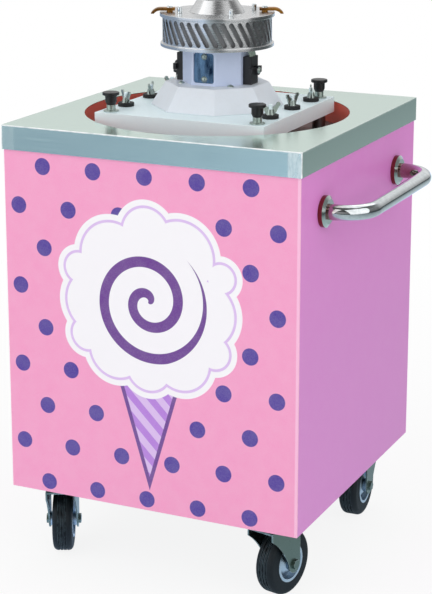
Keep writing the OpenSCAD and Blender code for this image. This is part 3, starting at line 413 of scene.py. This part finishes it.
def top_painted_highlights(tree):
    """Mask of the painted highlights on the upper and upright outer edges of the steel top, and of the painted
    highlight patches at its corners in front.
    """
    low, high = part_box("steel_top")
    place = object_place(tree)
    parts = parts_of(tree, place)
    halves = [(high[axis] - low[axis]) / 2 for axis in range(3)]
    near = []
    for axis in range(3):
        reach = calc(tree, "SUBTRACT", parts[axis], (low[axis] + high[axis]) / 2)
        if axis < 2:
            reach = calc(tree, "ABSOLUTE", reach)
        near.append(spread(tree, reach, 0.0, 1.0, halves[axis] - FOLD_HIGHLIGHT[1], halves[axis] - FOLD_HIGHLIGHT[0]))
    upright = calc(tree, "MULTIPLY", near[0], near[1])
    sides = calc(tree, "MULTIPLY", near[0], SIDE_HIGHLIGHT)
    upper = calc(tree, "MULTIPLY", calc(tree, "MAXIMUM", sides, near[1]), near[2])
    patches = spread(tree, noise(tree, place, HIGHLIGHT_PATCHES), *HIGHLIGHT_RUN)
    painted_highlight = calc(tree, "MULTIPLY", calc(tree, "MAXIMUM", upright, upper), patches)

    # Painted highlight patches near both ends of the front, streaked
    across = calc(tree, "SUBTRACT", parts[0], CART_X)
    inner, outer = halves[0] - CORNER_HIGHLIGHT[1], halves[0] - CORNER_HIGHLIGHT[0]
    right_end = spread(tree, across, 0.0, 1.0, inner, outer)
    left_end = spread(tree, across, LEFT_HIGHLIGHT, 0.0, -outer, -inner)
    end = calc(tree, "MAXIMUM", left_end, right_end)
    front = spread(tree, parts[1], 1.0, 0.0, low[1] + FOLD_HIGHLIGHT[0], low[1] + FOLD_HIGHLIGHT[1])
    stretched = vector_calc(tree, "MULTIPLY", place, CORNER_HIGHLIGHT_STRETCH)
    streaks = spread(tree, noise(tree, stretched, CORNER_HIGHLIGHT_STREAKS), *CORNER_HIGHLIGHT_RUN)
    corner_highlight = calc(tree, "MULTIPLY", calc(tree, "MULTIPLY", end, front), streaks)
    return calc(tree, "MAXIMUM", painted_highlight, corner_highlight, clamp=True)


def turned(name, colour, rough, across=1100.0, vary=0.12, relief=0.14, wear=None):
    """Metal with the rings of a lathe about the spinner's axis."""
    material, tree, shader = new_finish(name, Metallic=1.0)
    lines = use_group(tree, TURNED_LINES, Across=across)
    tone = spread(tree, lines, 0.0, 1.0, *GRAIN)
    surface = toned(tree, tone, colour, vary)
    if wear:
        surface = worn(tree, surface, wear, TURNED_WEAR)
    put(tree, shader.inputs["Base Color"], surface)
    put(tree, shader.inputs["Roughness"], spread(tree, tone, *rough))
    bump(tree, shader, lines, relief, LINE_DEPTH)
    return material


# Print on the front panel

DOT_STEP = 0.1047
DOT_ROW = 0.0770
DOT_START = (-0.0060, 0.7930)
DOT_RADIUS = 0.0160
PRINT_SOFTNESS = 0.0007
# Start of the painted highlight strip along the right edge of the front panel
RIGHT_EDGE_HIGHLIGHT = 0.2915
# Middle across, middle up and radius of each lobe of the puff
PUFF_LOBES = (
    (0.000, 0.560, 0.125), (-0.108, 0.548, 0.076), (0.110, 0.552, 0.078), (-0.074, 0.640, 0.078),
    (0.064, 0.652, 0.082), (-0.004, 0.690, 0.062), (-0.066, 0.462, 0.070), (0.066, 0.458, 0.072),
    (0.000, 0.436, 0.060), (-0.142, 0.610, 0.044), (0.146, 0.622, 0.042), (-0.128, 0.484, 0.046),
    (0.132, 0.482, 0.046),
)
PUFF_RIM = (0.011, 0.016)
SWIRL_MIDDLE = (0.0, 0.560)
SWIRL_PITCH = 0.060
SWIRL_STROKE = 0.165
SWIRL_REACH = 0.118
CONE_TIP = 0.196
CONE_MOUTH = 0.450
CONE_SLOPE = 0.30
CONE_OUTLINE = 0.0080
CONE_STRIPE = 0.040
STRIPE_HALF = 0.25
FILM_GRAIN = 420.0
FILM_WEAR = 0.0015
FILM_RELIEF = 0.05
# Height at which the side film turns from lilac to pinker lilac
LILAC_RUN = (0.0, 1.0, 0.45, 0.87)
# How far a face of a panel has to look inward to count as its back
BACK_RUN = (0.0, 1.0, -0.7, -0.5)


def drawn(tree, field):
    """Mask of a field that is positive inside its shape."""
    return calc(tree, "MULTIPLY_ADD", field, 1 / PRINT_SOFTNESS, 0.5, clamp=True)


def off_nearest(tree, value):
    """Distance of a value from the nearest whole number."""
    return calc(tree, "SUBTRACT", value, calc(tree, "ROUND", value))


def dots_field(tree, across, up):
    row = calc(tree, "DIVIDE", calc(tree, "SUBTRACT", up, DOT_START[1]), DOT_ROW)
    number = calc(tree, "ROUND", row)
    stagger = calc(tree, "MULTIPLY", calc(tree, "FLOORED_MODULO", number, 2.0), 0.5)
    column = calc(tree, "DIVIDE", calc(tree, "SUBTRACT", across, DOT_START[0]), DOT_STEP)
    column = calc(tree, "ADD", column, stagger)
    side = calc(tree, "MULTIPLY", off_nearest(tree, column), DOT_STEP)
    rise = calc(tree, "MULTIPLY", calc(tree, "SUBTRACT", row, number), DOT_ROW)
    away = vector_calc(tree, "LENGTH", vector_of(tree, side, rise))
    return calc(tree, "SUBTRACT", DOT_RADIUS, away)


def puff_field(tree, place):
    field = None
    for across, up, radius in PUFF_LOBES:
        lobe = calc(tree, "SUBTRACT", radius, vector_calc(tree, "DISTANCE", place, (across, up, 0.0)))
        field = lobe if field is None else calc(tree, "MAXIMUM", field, lobe)
    return field


def swirl_mask(tree, across, up):
    side = calc(tree, "SUBTRACT", across, SWIRL_MIDDLE[0])
    rise = calc(tree, "SUBTRACT", up, SWIRL_MIDDLE[1])
    away = vector_calc(tree, "LENGTH", vector_of(tree, side, rise))
    turn = calc(tree, "DIVIDE", calc(tree, "ARCTAN2", rise, side), math.tau)
    winding = calc(tree, "SUBTRACT", calc(tree, "DIVIDE", away, SWIRL_PITCH), turn)
    from_stroke = calc(tree, "ABSOLUTE", off_nearest(tree, winding))
    field = calc(tree, "MULTIPLY", calc(tree, "SUBTRACT", SWIRL_STROKE, from_stroke), SWIRL_PITCH)
    inside = drawn(tree, calc(tree, "SUBTRACT", SWIRL_REACH, away))
    return calc(tree, "MULTIPLY", drawn(tree, field), inside)


def front_print_group():
    """Polka dots, a cotton puff on a paper cone, and a painted highlight strip along the right edge."""
    group, _, result = new_group("front_print", [], [("Colour", COLOUR)])
    across, _, up = place_from_axis(group)
    colour = mix(group, drawn(group, dots_field(group, across, up)), PINK, VIOLET_DOT)

    reach = calc(group, "MULTIPLY", calc(group, "SUBTRACT", up, CONE_TIP), CONE_SLOPE)
    sides = calc(group, "SUBTRACT", reach, calc(group, "ABSOLUTE", across))
    cone = calc(group, "MINIMUM", sides, calc(group, "SUBTRACT", CONE_MOUTH, up))
    slant = calc(group, "DIVIDE", calc(group, "ADD", across, up), CONE_STRIPE)
    from_stripe = calc(group, "ABSOLUTE", off_nearest(group, slant))
    stripe = calc(group, "MULTIPLY", calc(group, "SUBTRACT", STRIPE_HALF, from_stripe), CONE_STRIPE)
    filling = mix(group, drawn(group, stripe), LILAC, PALE_LILAC)
    colour = mix(group, drawn(group, cone), colour, PURPLE)
    colour = mix(group, drawn(group, calc(group, "SUBTRACT", cone, CONE_OUTLINE)), colour, filling)

    puff = puff_field(group, vector_of(group, across, up))
    colour = mix(group, drawn(group, puff), colour, PRINT_WHITE)
    from_outside = calc(group, "SUBTRACT", puff, PUFF_RIM[0])
    rim = calc(group, "MINIMUM", from_outside, calc(group, "SUBTRACT", PUFF_RIM[1], puff))
    colour = mix(group, drawn(group, rim), colour, PALE_LILAC)
    colour = mix(group, swirl_mask(group, across, up), colour, PURPLE)
    # Painted highlight: a pale strip along the right edge of the panel
    edge_highlight = drawn(group, calc(group, "SUBTRACT", across, RIGHT_EDGE_HIGHLIGHT))
    put(group, result.inputs["Colour"], mix(group, edge_highlight, colour, PINK_WEAR_AND_HIGHLIGHT))
    return group


def panel_outside(tree, along):
    """One on the face of a panel that looks away from the middle of the cart, nought on its back."""
    side = calc(tree, "SIGN", place_from_axis(tree)[along])
    return spread(tree, calc(tree, "MULTIPLY", facing(tree)[along], side), *BACK_RUN)


def lay_film(tree, shader, colour, glints, rough):
    """Grain with painted white glints, worn edges and gloss of the printed film over its colour."""
    grains = use_group(tree, FINE_GRAIN, Scale=FILM_GRAIN)
    colour = mix(tree, spread(tree, grains, 0.0, glints, *GRAIN), colour, PRINT_WHITE)
    put(tree, shader.inputs["Base Color"], worn(tree, colour, PINK_WEAR_AND_HIGHLIGHT, FILM_WEAR))
    put(tree, shader.inputs["Roughness"], spread(tree, grains, *rough, *GRAIN))
    bump(tree, shader, grains, FILM_RELIEF)


def printed_front():
    material, tree, shader = new_finish("print_pink", Coat_Weight=0.25, Coat_Roughness=0.2)
    colour = mix(tree, panel_outside(tree, 1), BOARD_BACK, use_group(tree, front_print_group()))
    lay_film(tree, shader, colour, 0.10, (0.34, 0.48))
    return material


def printed_side():
    """Plain lilac film, a little pinker towards the top."""
    material, tree, shader = new_finish("print_lilac", Coat_Weight=0.2, Coat_Roughness=0.25)
    height = spread(tree, parts_of(tree, object_place(tree))[2], *LILAC_RUN)
    colour = mix(tree, height, SIDE_LILAC, HIGH_LILAC)
    colour = mix(tree, panel_outside(tree, 0), BOARD_BACK, colour)
    lay_film(tree, shader, colour, 0.08, (0.36, 0.5))
    return material


# Finishes of single pieces

SCREEN_WIRES = (srgb(92, 92, 96), srgb(198, 198, 200))
# Wires round the screen and up it, in turns of a sine
WIRES_ROUND = 300.0
WIRES_UP = 3300.0
WEAVE = (-0.6, 0.6)
WINDOW_ZINC = (srgb(14, 34, 60), srgb(126, 164, 200))
SMEAR_TURN = (0.0, 0.7, 0.0)
SMEAR_SCALE = (60.0, 20.0, 16.0)
SMEAR_SHARE = 0.75
SMEARS = (0.34, 0.66)
BRONZE = (srgb(186, 128, 46), srgb(92, 54, 16), srgb(220, 170, 90))
HEAT_MARKS = 45.0
HEAT_RUN = (0.0, 1.0, 0.4, 0.7)
BRONZE_WEAR = 0.0012


def woven_screen():
    """Fine wire screen of the heater."""
    material, tree, shader = new_finish("heater_mesh", Metallic=0.85)
    x, y, z = place_from_axis(tree)
    around = calc(tree, "MULTIPLY", calc(tree, "ARCTAN2", y, x), WIRES_ROUND)
    rise = calc(tree, "MULTIPLY", z, WIRES_UP)
    warp = calc(tree, "MULTIPLY", calc(tree, "SINE", around), calc(tree, "SINE", rise))
    weave = spread(tree, warp, 0.0, 1.0, *WEAVE)
    put(tree, shader.inputs["Base Color"], mix(tree, weave, *SCREEN_WIRES))
    put(tree, shader.inputs["Roughness"], spread(tree, weave, 0.6, 0.38))
    bump(tree, shader, weave, 0.4)
    return material


def window_zinc():
    """Dull zinc with smeared streaks across it."""
    material, tree, shader = new_finish("window_zinc", Metallic=0.9)
    inputs = {"Vector": object_place(tree), "Rotation": SMEAR_TURN, "Scale": SMEAR_SCALE}
    streaks = noise(tree, add(tree, "ShaderNodeMapping", inputs).outputs[0], 1.0, detail=4.0)
    grains = use_group(tree, FINE_GRAIN, Scale=500.0)
    tone = spread(tree, blend(tree, streaks, grains, SMEAR_SHARE), 0.0, 1.0, *SMEARS)
    put(tree, shader.inputs["Base Color"], mix(tree, tone, *WINDOW_ZINC))
    put(tree, shader.inputs["Roughness"], spread(tree, tone, 0.5, 0.3))
    bump(tree, shader, grains, 0.15)
    return material


def dull_bronze():
    """Brown metal of the floss wings with darker heat marks."""
    material, tree, shader = new_finish("wing_brown", Metallic=0.75)
    bright, dark, edge = BRONZE
    grains = use_group(tree, FINE_GRAIN, Scale=260.0)
    stains = spread(tree, noise(tree, object_place(tree), HEAT_MARKS, detail=5.0), *HEAT_RUN)
    surface = worn(tree, mix(tree, stains, bright, dark), edge, BRONZE_WEAR)
    put(tree, shader.inputs["Base Color"], surface)
    put(tree, shader.inputs["Roughness"], spread(tree, grains, 0.3, 0.5, *GRAIN))
    bump(tree, shader, grains, 0.15)
    return material


# Painted dark brown reflection of the panel, laid on chrome as painted shade where it comes near the panel, and
# how far from the panel it reaches
PANEL_REFLECTION_BROWN = srgb(128, 66, 62)
PANEL_REFLECTION_REACH = 0.07
REFLECTION_SAMPLES = 8
REFLECTION_RUN = (0.0, 1.0, 0.55, 0.95)
CHROME = (srgb(214, 222, 224), srgb(238, 242, 244))
CHROME_GRAIN = 160.0
HAZE = (0.35, 0.65)
FLANGE_FACE = srgb(214, 230, 226)
# How far a face of a flange turns away from the side of the cart to count as its rim
RIM_RUN = (1.0, 0.0, 0.35, 0.75)


def chromed(name, shows_panel_reflection=False):
    """Bright plating with faint polish haze, which may carry painted shade and a painted dark brown reflection of
    the panel where it comes near the panel.
    """
    material, tree, shader = new_finish(name, Metallic=1.0)
    grains = use_group(tree, FINE_GRAIN, Scale=CHROME_GRAIN)
    tone = spread(tree, grains, 0.0, 1.0, *HAZE)
    bright = mix(tree, tone, *CHROME)
    if shows_panel_reflection:
        # Painted shade and reflection: occlusion by the nearby panel mixes in the dark brown
        inputs = {"Distance": PANEL_REFLECTION_REACH}
        corners = add(tree, "ShaderNodeAmbientOcclusion", inputs, samples=REFLECTION_SAMPLES).outputs["AO"]
        bright = mix(tree, spread(tree, corners, *REFLECTION_RUN), PANEL_REFLECTION_BROWN, bright)
    put(tree, shader.inputs["Base Color"], bright)
    put(tree, shader.inputs["Roughness"], spread(tree, tone, 0.04, 0.10))
    bump(tree, shader, grains, 0.02)
    return material


def flanged():
    """Bright plating whose turned rim carries a painted dark brown reflection of the panel."""
    material, tree, shader = new_finish("flange_chrome", Metallic=1.0)
    grains = use_group(tree, FINE_GRAIN, Scale=CHROME_GRAIN)
    rim = spread(tree, calc(tree, "ABSOLUTE", facing(tree)[0]), *RIM_RUN)
    # Painted reflection: faces turned away from the side of the cart take the dark brown of the panel's reflection
    put(tree, shader.inputs["Base Color"], mix(tree, rim, FLANGE_FACE, PANEL_REFLECTION_BROWN))
    put(tree, shader.inputs["Roughness"], spread(tree, grains, 0.08, 0.2, *GRAIN))
    return material


# Values that some finishes share

SHEET_STEEL = {"colour": srgb(217, 238, 228), "rough": (0.18, 0.26), "vary": 0.035, "relief": 0.025}
ZINC_PLATING = {"rough": (0.26, 0.42), "along": 60.0, "across": 500.0, "wear": BRIGHT_STEEL}
POWDER_COAT = {"grain": 900.0, "vary": 0.025, "relief": 0.10}

FINISHES = {
    "print_pink": printed_front(),
    "print_lilac": printed_side(),
    "door_lilac": coated("door_lilac", srgb(214, 138, 208), (0.38, 0.52), wear=PINK_WEAR_AND_HIGHLIGHT),
    "stainless": brushed("stainless", **SHEET_STEEL, wear=BRIGHT_STEEL, radius=0.002),
    # The steel top carries painted highlights on its folded edges and front corners
    "top_steel": brushed("top_steel", **SHEET_STEEL, painted_highlight=top_painted_highlights),
    "frame_steel": coated("frame_steel", srgb(86, 90, 96), (0.45, 0.6), wear=srgb(150, 150, 150), dust=0.2),
    "plate_steel": brushed("plate_steel", srgb(128, 134, 136), (0.35, 0.5), dust=0.15),
    # The red ring's edges are painted darker red, as painted shade along them
    "well_red": coated("well_red", srgb(238, 108, 92), (0.28, 0.42), grain=180.0, wear=srgb(120, 30, 24)),
    "chrome": chromed("chrome"),
    "handle_chrome": chromed("handle_chrome", shows_panel_reflection=True),
    "flange_chrome": flanged(),
    "zinc": brushed("zinc", srgb(164, 176, 170), **ZINC_PLATING),
    "fork_zinc": brushed("fork_zinc", srgb(116, 133, 126), **ZINC_PLATING),
    "rubber": coated("rubber", srgb(24, 24, 25), (0.6, 0.8), grain=600.0, vary=0.2, wear=SHINY_BLACK),
    # The tyre's pale blue-grey edge colour is a painted highlight on the ribs of the tread
    "tyre": coated(
        "tyre", srgb(17, 27, 33), (0.5, 0.7), grain=500.0, vary=0.25, wear=srgb(92, 112, 122),
        radius=0.0022, dust=0.03, Specular_IOR_Level=0.3
    ),
    "wheel_zinc": brushed(
        "wheel_zinc", srgb(190, 206, 220), (0.26, 0.40), along=80.0, across=400.0, vary=0.06, relief=0.05,
        wear=BRIGHT_STEEL, radius=0.003
    ),
    "black_plastic": coated(
        "black_plastic", srgb(20, 20, 23), (0.3, 0.46), grain=700.0, vary=0.15, wear=SHINY_BLACK
    ),
    "red_plastic": coated(
        "red_plastic", srgb(190, 30, 30), (0.22, 0.34), grain=500.0, wear=srgb(225, 80, 70)
    ),
    "powder_white": coated(
        "powder_white", srgb(224, 230, 238), (0.34, 0.46), **POWDER_COAT, wear=srgb(240, 244, 248), dust=0.12
    ),
    # The base plate's powder coat, brighter than powder_white to paint in light where the steel top shades the
    # plate
    "plate_white_painted_light": coated(
        "plate_white_painted_light", srgb(232, 249, 255), (0.34, 0.46), **POWDER_COAT, wear=srgb(246, 250, 255)
    ),
    "column_grey": coated(
        "column_grey", srgb(202, 214, 240), (0.32, 0.44), **POWDER_COAT, wear=srgb(226, 230, 242)
    ),
    "window_zinc": window_zinc(),
    "carbon": coated("carbon", srgb(52, 52, 54), (0.5, 0.7), grain=800.0),
    "lead_sleeve": coated(
        "lead_sleeve", srgb(178, 196, 180), (0.25, 0.4), grain=400.0, vary=0.15, Transmission_Weight=0.25
    ),
    "motor_grey": coated(
        "motor_grey", srgb(118, 124, 126), (0.45, 0.62), grain=240.0, relief=0.3, wear=srgb(170, 174, 176)
    ),
    "bearing_steel": turned("bearing_steel", srgb(206, 210, 214), (0.12, 0.26)),
    "slip_brass": turned("slip_brass", srgb(212, 168, 92), (0.16, 0.3)),
    "drum_alloy": turned(
        "drum_alloy", srgb(222, 223, 224), (0.18, 0.30), vary=0.06, relief=0.05, wear=BRIGHT_STEEL
    ),
    "heater_mesh": woven_screen(),
    "wing_brown": dull_bronze(),
    "catch_brown": coated("catch_brown", srgb(120, 84, 58), (0.45, 0.6)),
    "mark_white": coated("mark_white", srgb(236, 236, 234), (0.4, 0.55), grain=900.0),
    "mark_black": coated("mark_black", srgb(30, 30, 32), (0.4, 0.55), grain=900.0),
}
CORNERS = ("fl", "fr", "bl", "br")
# Solids whose finish departs from that of their slot
OWN_FINISHES = {
    "steel_top": "top_steel",
    # The base plate takes the brighter copy of the powder coat, as painted light
    "base_plate": "plate_white_painted_light",
    "handle_tube": "handle_chrome",
    "handle_flanges": "flange_chrome",
    **{f"caster_fork_{corner}": "fork_zinc" for corner in CORNERS},
}


def dress_nodes():
    """Gives every solid its own finish or that of its slot."""
    for part in frame["record"]["subparts"]:
        finish = OWN_FINISHES.get(part["node"], part["material_slot"])
        mesh = nodes[part["node"]].data
        mesh.materials.clear()
        mesh.materials.append(FINISHES[finish])


dress_nodes()

# Rounded edges

EDGE_RADII = {
    0.0012: ["steel_top", "base_plate", "drive_housing", "brush_column", "drum_cover", "drum_floor"],
    0.0008: ["front_panel", "left_panel", "right_panel", "rear_door", "rear_fascia", "brush_blocks"],
    0.0015: ["door_pull", "heat_dial", *[f"lock_knob_{corner}" for corner in CORNERS]],
    0.0006: ["plunger_bodies", "buffer_washers", "wing_nuts", "floss_wings", "sugar_cone", "tie_rods"],
}
EDGE_ANGLE = math.radians(38)
EDGE_SEGMENTS = 3
FLAT_ANGLE = math.radians(0.5)
WELD_REACH = 0.000005


def round_edges(name, width):
    """Rounds the sharp edges of a solid by modifiers, so that its mesh stays as packed."""
    node = nodes[name]
    weld = node.modifiers.new("joined_corners", "WELD")
    weld.merge_threshold = WELD_REACH
    faces = node.modifiers.new("whole_faces", "DECIMATE")
    faces.decimate_type = "DISSOLVE"
    faces.angle_limit = FLAT_ANGLE
    edges = node.modifiers.new("round_edges", "BEVEL")
    edges.width = width
    edges.segments = EDGE_SEGMENTS
    edges.limit_method = "ANGLE"
    edges.angle_limit = EDGE_ANGLE
    normals = node.modifiers.new("even_normals", "WEIGHTED_NORMAL")
    normals.keep_sharp = False


for edge_width, names in EDGE_RADII.items():
    for node_name in names:
        round_edges(node_name, edge_width)

# Printed marks on the controls

SQUARE = ((-1, -1), (1, -1), (1, 1), (-1, 1))
FILM = 0.00025
CELL_JOIN = 0.000002
# Inner radius of the dial's band, and its outer radius at the start and at the end
SCALE_IN = 0.0215
SCALE_OUT = (0.0222, 0.0262)
SCALE_SWEEP = 270.0
SCALE_STEPS = 90
TICK_COUNT = 10
# Inner radius, outer radius and width of a tick
TICK = (0.0276, 0.0308, 0.0009)
ROCKER_TILT = math.radians(8)
ROCKER_FACE = 0.0075
ROCKER_SLOPE = 2.5 / 10.5
ROCKER_MARK_AT = 0.0060
BAR_HALF = (0.0006, 0.0026)
LOOP_RADII = (0.0018, 0.0028)
LOOP_SIDES = 32


def film_piece(name, outlines, lift, place):
    """Thin film over flat outlines: lift gives the height of a point, place its spot on the object."""
    shape = bmesh.new()
    for outline in outlines:
        low = [shape.verts.new(place(x, z, lift(x, z))) for x, z in outline]
        high = [shape.verts.new(place(x, z, lift(x, z) + FILM)) for x, z in outline]
        count = len(outline)
        shape.faces.new(high)
        shape.faces.new(low[::-1])
        for i in range(count):
            j = (i + 1) % count
            shape.faces.new((low[i], low[j], high[j], high[i]))
    bmesh.ops.recalc_face_normals(shape, faces=shape.faces)
    mesh = bpy.data.meshes.new(name)
    shape.to_mesh(mesh)
    shape.free()
    piece = bpy.data.objects.new(name, mesh)
    bpy.context.scene.collection.objects.link(piece)
    return piece


def join_cells(piece):
    """Joins the touching cells of a film into one skin."""
    shape = bmesh.new()
    shape.from_mesh(piece.data)
    bmesh.ops.remove_doubles(shape, verts=shape.verts, dist=CELL_JOIN)
    inner = [face for face in shape.faces if all(len(edge.link_faces) > 2 for edge in face.edges)]
    bmesh.ops.delete(shape, geom=inner, context="FACES_ONLY")
    shape.to_mesh(piece.data)
    shape.free()


def clock(degrees, radius):
    """Point at an angle turned clockwise from the top, seen from behind."""
    turn = math.radians(degrees)
    return (-radius * math.sin(turn), radius * math.cos(turn))


def dial_scale():
    """Growing band and ticks round the heat dial."""
    middle_x = (DIAL_LOW.x + DIAL_HIGH.x) / 2
    middle_z = (DIAL_LOW.z + DIAL_HIGH.z) / 2
    outlines = []
    for i in range(SCALE_STEPS):
        ends = [i / SCALE_STEPS, (i + 1) / SCALE_STEPS]
        outer = [SCALE_OUT[0] + (SCALE_OUT[1] - SCALE_OUT[0]) * end for end in ends]
        first, last = [SCALE_SWEEP * end for end in ends]
        corners = [(first, SCALE_IN), (first, outer[0]), (last, outer[1]), (last, SCALE_IN)]
        outlines.append([clock(turn, radius) for turn, radius in corners])
    for i in range(TICK_COUNT):
        angle = SCALE_SWEEP * i / (TICK_COUNT - 1)
        lean = math.degrees(TICK[2] / 2 / TICK[1])
        first, last = angle - lean, angle + lean
        corners = [(first, TICK[0]), (first, TICK[1]), (last, TICK[1]), (last, TICK[0])]
        outlines.append([clock(turn, radius) for turn, radius in corners])
    piece = film_piece(
        "dial_scale",
        outlines,
        lambda x, z: 0.0,
        lambda x, z, y: (middle_x + x, FASCIA_BACK + y, middle_z + z),
    )
    join_cells(piece)
    piece.data.materials.append(FINISHES["mark_black"])
    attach(piece, "cart")


def rocker_marks():
    """A bar on the upper half and a loop on the lower half of the rocker."""
    joint = next(j for j in frame["joints"] if j["child"] == "rocker")
    pivot = Vector(joint["pos_m"])
    tilt = Matrix.Rotation(ROCKER_TILT, 4, "X")
    outlines = [[(x * BAR_HALF[0], ROCKER_MARK_AT + z * BAR_HALF[1]) for x, z in SQUARE]]
    for i in range(LOOP_SIDES):
        turns = [math.tau * i / LOOP_SIDES, math.tau * (i + 1) / LOOP_SIDES]
        ring = [(turns[0], 0), (turns[0], 1), (turns[1], 1), (turns[1], 0)]
        outlines.append(
            [
                (LOOP_RADII[k] * math.cos(turn), LOOP_RADII[k] * math.sin(turn) - ROCKER_MARK_AT)
                for turn, k in ring
            ]
        )
    piece = film_piece(
        "rocker_marks",
        outlines,
        lambda x, z: ROCKER_FACE + ROCKER_SLOPE * abs(z),
        lambda x, z, y: pivot + tilt @ Vector((x, y, z)),
    )
    join_cells(piece)
    piece.data.materials.append(FINISHES["mark_white"])
    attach(piece, "rocker")


dial_scale()
rocker_marks()

# Floor, light and world

FLOOR_HALF = 60.0
FLOOR_COLOUR = srgb(246, 246, 247)
# Share of plain white that the camera sees in the floor, near the cart and away from it
FLOOR_GLOW = (0.87, 1.0)
FLOOR_GLOW_REACH = (0.6, 2.2)
# Places across the floor, and how bright it shows in metal there
FLOOR_IN_METAL = {-4.0: 0.40, -1.7: 0.46, -1.15: 0.54, -0.6: 1.0, 0.8: 0.60, 2.2: 0.31, 3.6: 0.08}
FLOOR_TINT_LEFT = (0.68, 0.87, 1.15, 1.0)
FLOOR_TINT_RIGHT = (0.74, 0.86, 0.90, 1.0)
TINT_RUN = (0.0, 1.0, -0.2, 0.5)
WHITE = (1.0, 1.0, 1.0, 1.0)


def in_metal_view(tree):
    """Light path of a ray, and one where the ray comes from a mirror or through glass."""
    path = add(tree, "ShaderNodeLightPath").outputs
    return path, calc(tree, "MAXIMUM", path["Is Glossy Ray"], path["Is Transmission Ray"])


def make_floor():
    """Pale floor that fades to white away from the cart and keeps its shadow."""
    mesh = bpy.data.meshes.new("floor")
    mesh.from_pydata([(x * FLOOR_HALF, y * FLOOR_HALF, 0.0) for x, y in SQUARE], [], [(0, 1, 2, 3)])
    floor = bpy.data.objects.new("floor", mesh)
    bpy.context.scene.collection.objects.link(floor)
    material = bpy.data.materials.new("floor")
    material.use_nodes = True
    tree = material.node_tree
    tree.nodes.clear()
    lit = add(tree, "ShaderNodeBsdfDiffuse", {"Color": FLOOR_COLOUR})
    path, metal = in_metal_view(tree)
    place = object_place(tree)
    across = parts_of(tree, place)[0]
    white_share = spread(tree, vector_calc(tree, "LENGTH", place), *FLOOR_GLOW, *FLOOR_GLOW_REACH)
    in_metal = ramp(tree, across, FLOOR_IN_METAL)
    strength = calc(tree, "MULTIPLY_ADD", calc(tree, "SUBTRACT", in_metal, 1.0), metal, 1.0)
    metal_tint = mix(tree, spread(tree, across, *TINT_RUN), FLOOR_TINT_LEFT, FLOOR_TINT_RIGHT)
    tint = mix(tree, metal, WHITE, metal_tint)
    glow = add(tree, "ShaderNodeEmission", {"Color": tint, "Strength": strength})
    factor = calc(tree, "MULTIPLY_ADD", path["Is Camera Ray"], white_share, metal, clamp=True)
    mixed = add(tree, "ShaderNodeMixShader", {0: factor, 1: lit.outputs[0], 2: glow.outputs[0]})
    output = add(tree, "ShaderNodeOutputMaterial")
    tree.links.new(mixed.outputs[0], output.inputs["Surface"])
    mesh.materials.append(material)


WORLD_LIGHT = 0.50
# Share of the studio left out behind the key and top lamps, which metal shows as well
BEHIND_LAMPS = 0.85
# Runs of the studio along the parts of a direction
STUDIO_RISE = (0.62, 1.0, -0.05, 0.25)
SHADOW_RIGHT = (0.0, 0.75, 0.15, 0.7)
SHADOW_LOW = (1.0, 0.0, 0.35, 0.9)
BAND_FRONT = (0.0, 0.8, -0.15, -0.6)
BAND_HORIZON = (1.0, 0.0, 0.02, 0.16)
PATCH_RIGHT = (0.0, 0.7, 0.15, 0.4)
PATCH_HIGH = (0.0, 1.0, 0.35, 0.6)
KEY_AHEAD = (0.0, 1.0, -0.2, -0.5)
KEY_RAISED = (0.0, BEHIND_LAMPS, 0.12, 0.35)
TOP_OVERHEAD = (0.0, BEHIND_LAMPS, 0.68, 0.88)


def make_world():
    """White to the camera, an even light on matt faces, and a plain studio in the metal."""
    world = bpy.data.worlds.new("studio")
    bpy.context.scene.world = world
    world.use_nodes = True
    tree = world.node_tree
    tree.nodes.clear()
    x, y, z = parts_of(tree, add(tree, "ShaderNodeTexCoord").outputs["Generated"])
    studio = spread(tree, z, *STUDIO_RISE)
    shadow_side = calc(tree, "MULTIPLY", spread(tree, x, *SHADOW_RIGHT), spread(tree, z, *SHADOW_LOW))
    dark_band = calc(tree, "MULTIPLY", spread(tree, y, *BAND_FRONT), spread(tree, z, *BAND_HORIZON))
    high_right = calc(tree, "MULTIPLY", spread(tree, x, *PATCH_RIGHT), spread(tree, z, *PATCH_HIGH))
    key_side = calc(tree, "MULTIPLY", spread(tree, y, *KEY_AHEAD), spread(tree, z, *KEY_RAISED))
    lamp_side = calc(tree, "MAXIMUM", key_side, spread(tree, z, *TOP_OVERHEAD))
    for dark in (shadow_side, dark_band, high_right, lamp_side):
        studio = calc(tree, "MULTIPLY", studio, one_minus(tree, dark))
    path, metal = in_metal_view(tree)
    strength = calc(tree, "MULTIPLY_ADD", calc(tree, "SUBTRACT", studio, WORLD_LIGHT), metal, WORLD_LIGHT)
    seen = path["Is Camera Ray"]
    strength = calc(tree, "MULTIPLY_ADD", one_minus(tree, strength), seen, strength)
    background = add(tree, "ShaderNodeBackground", {"Strength": strength})
    output = add(tree, "ShaderNodeOutputWorld")
    tree.links.new(background.outputs[0], output.inputs["Surface"])


# Place, size and power of each lamp
LAMPS = {
    "key_lamp": ((-2.4, -3.8, 3.2), 6.2, 136.0),
    "fill_lamp": ((3.6, -1.6, 2.6), 5.0, 82.0),
    "top_lamp": ((-0.3, 1.4, 4.2), 4.2, 50.0),
}
LAMP_AIM = Vector((CART_X, 0.0, 0.65))


def make_lamps():
    for name, (place, size, power) in LAMPS.items():
        data = bpy.data.lights.new(name, "AREA")
        data.size = size
        data.energy = power
        lamp = bpy.data.objects.new(name, data)
        bpy.context.scene.collection.objects.link(lamp)
        lamp.location = place
        lamp.rotation_euler = (LAMP_AIM - Vector(place)).to_track_quat("-Z", "Y").to_euler()


make_floor()
make_world()
make_lamps()
bpy.context.scene.view_settings.view_transform = "Standard"
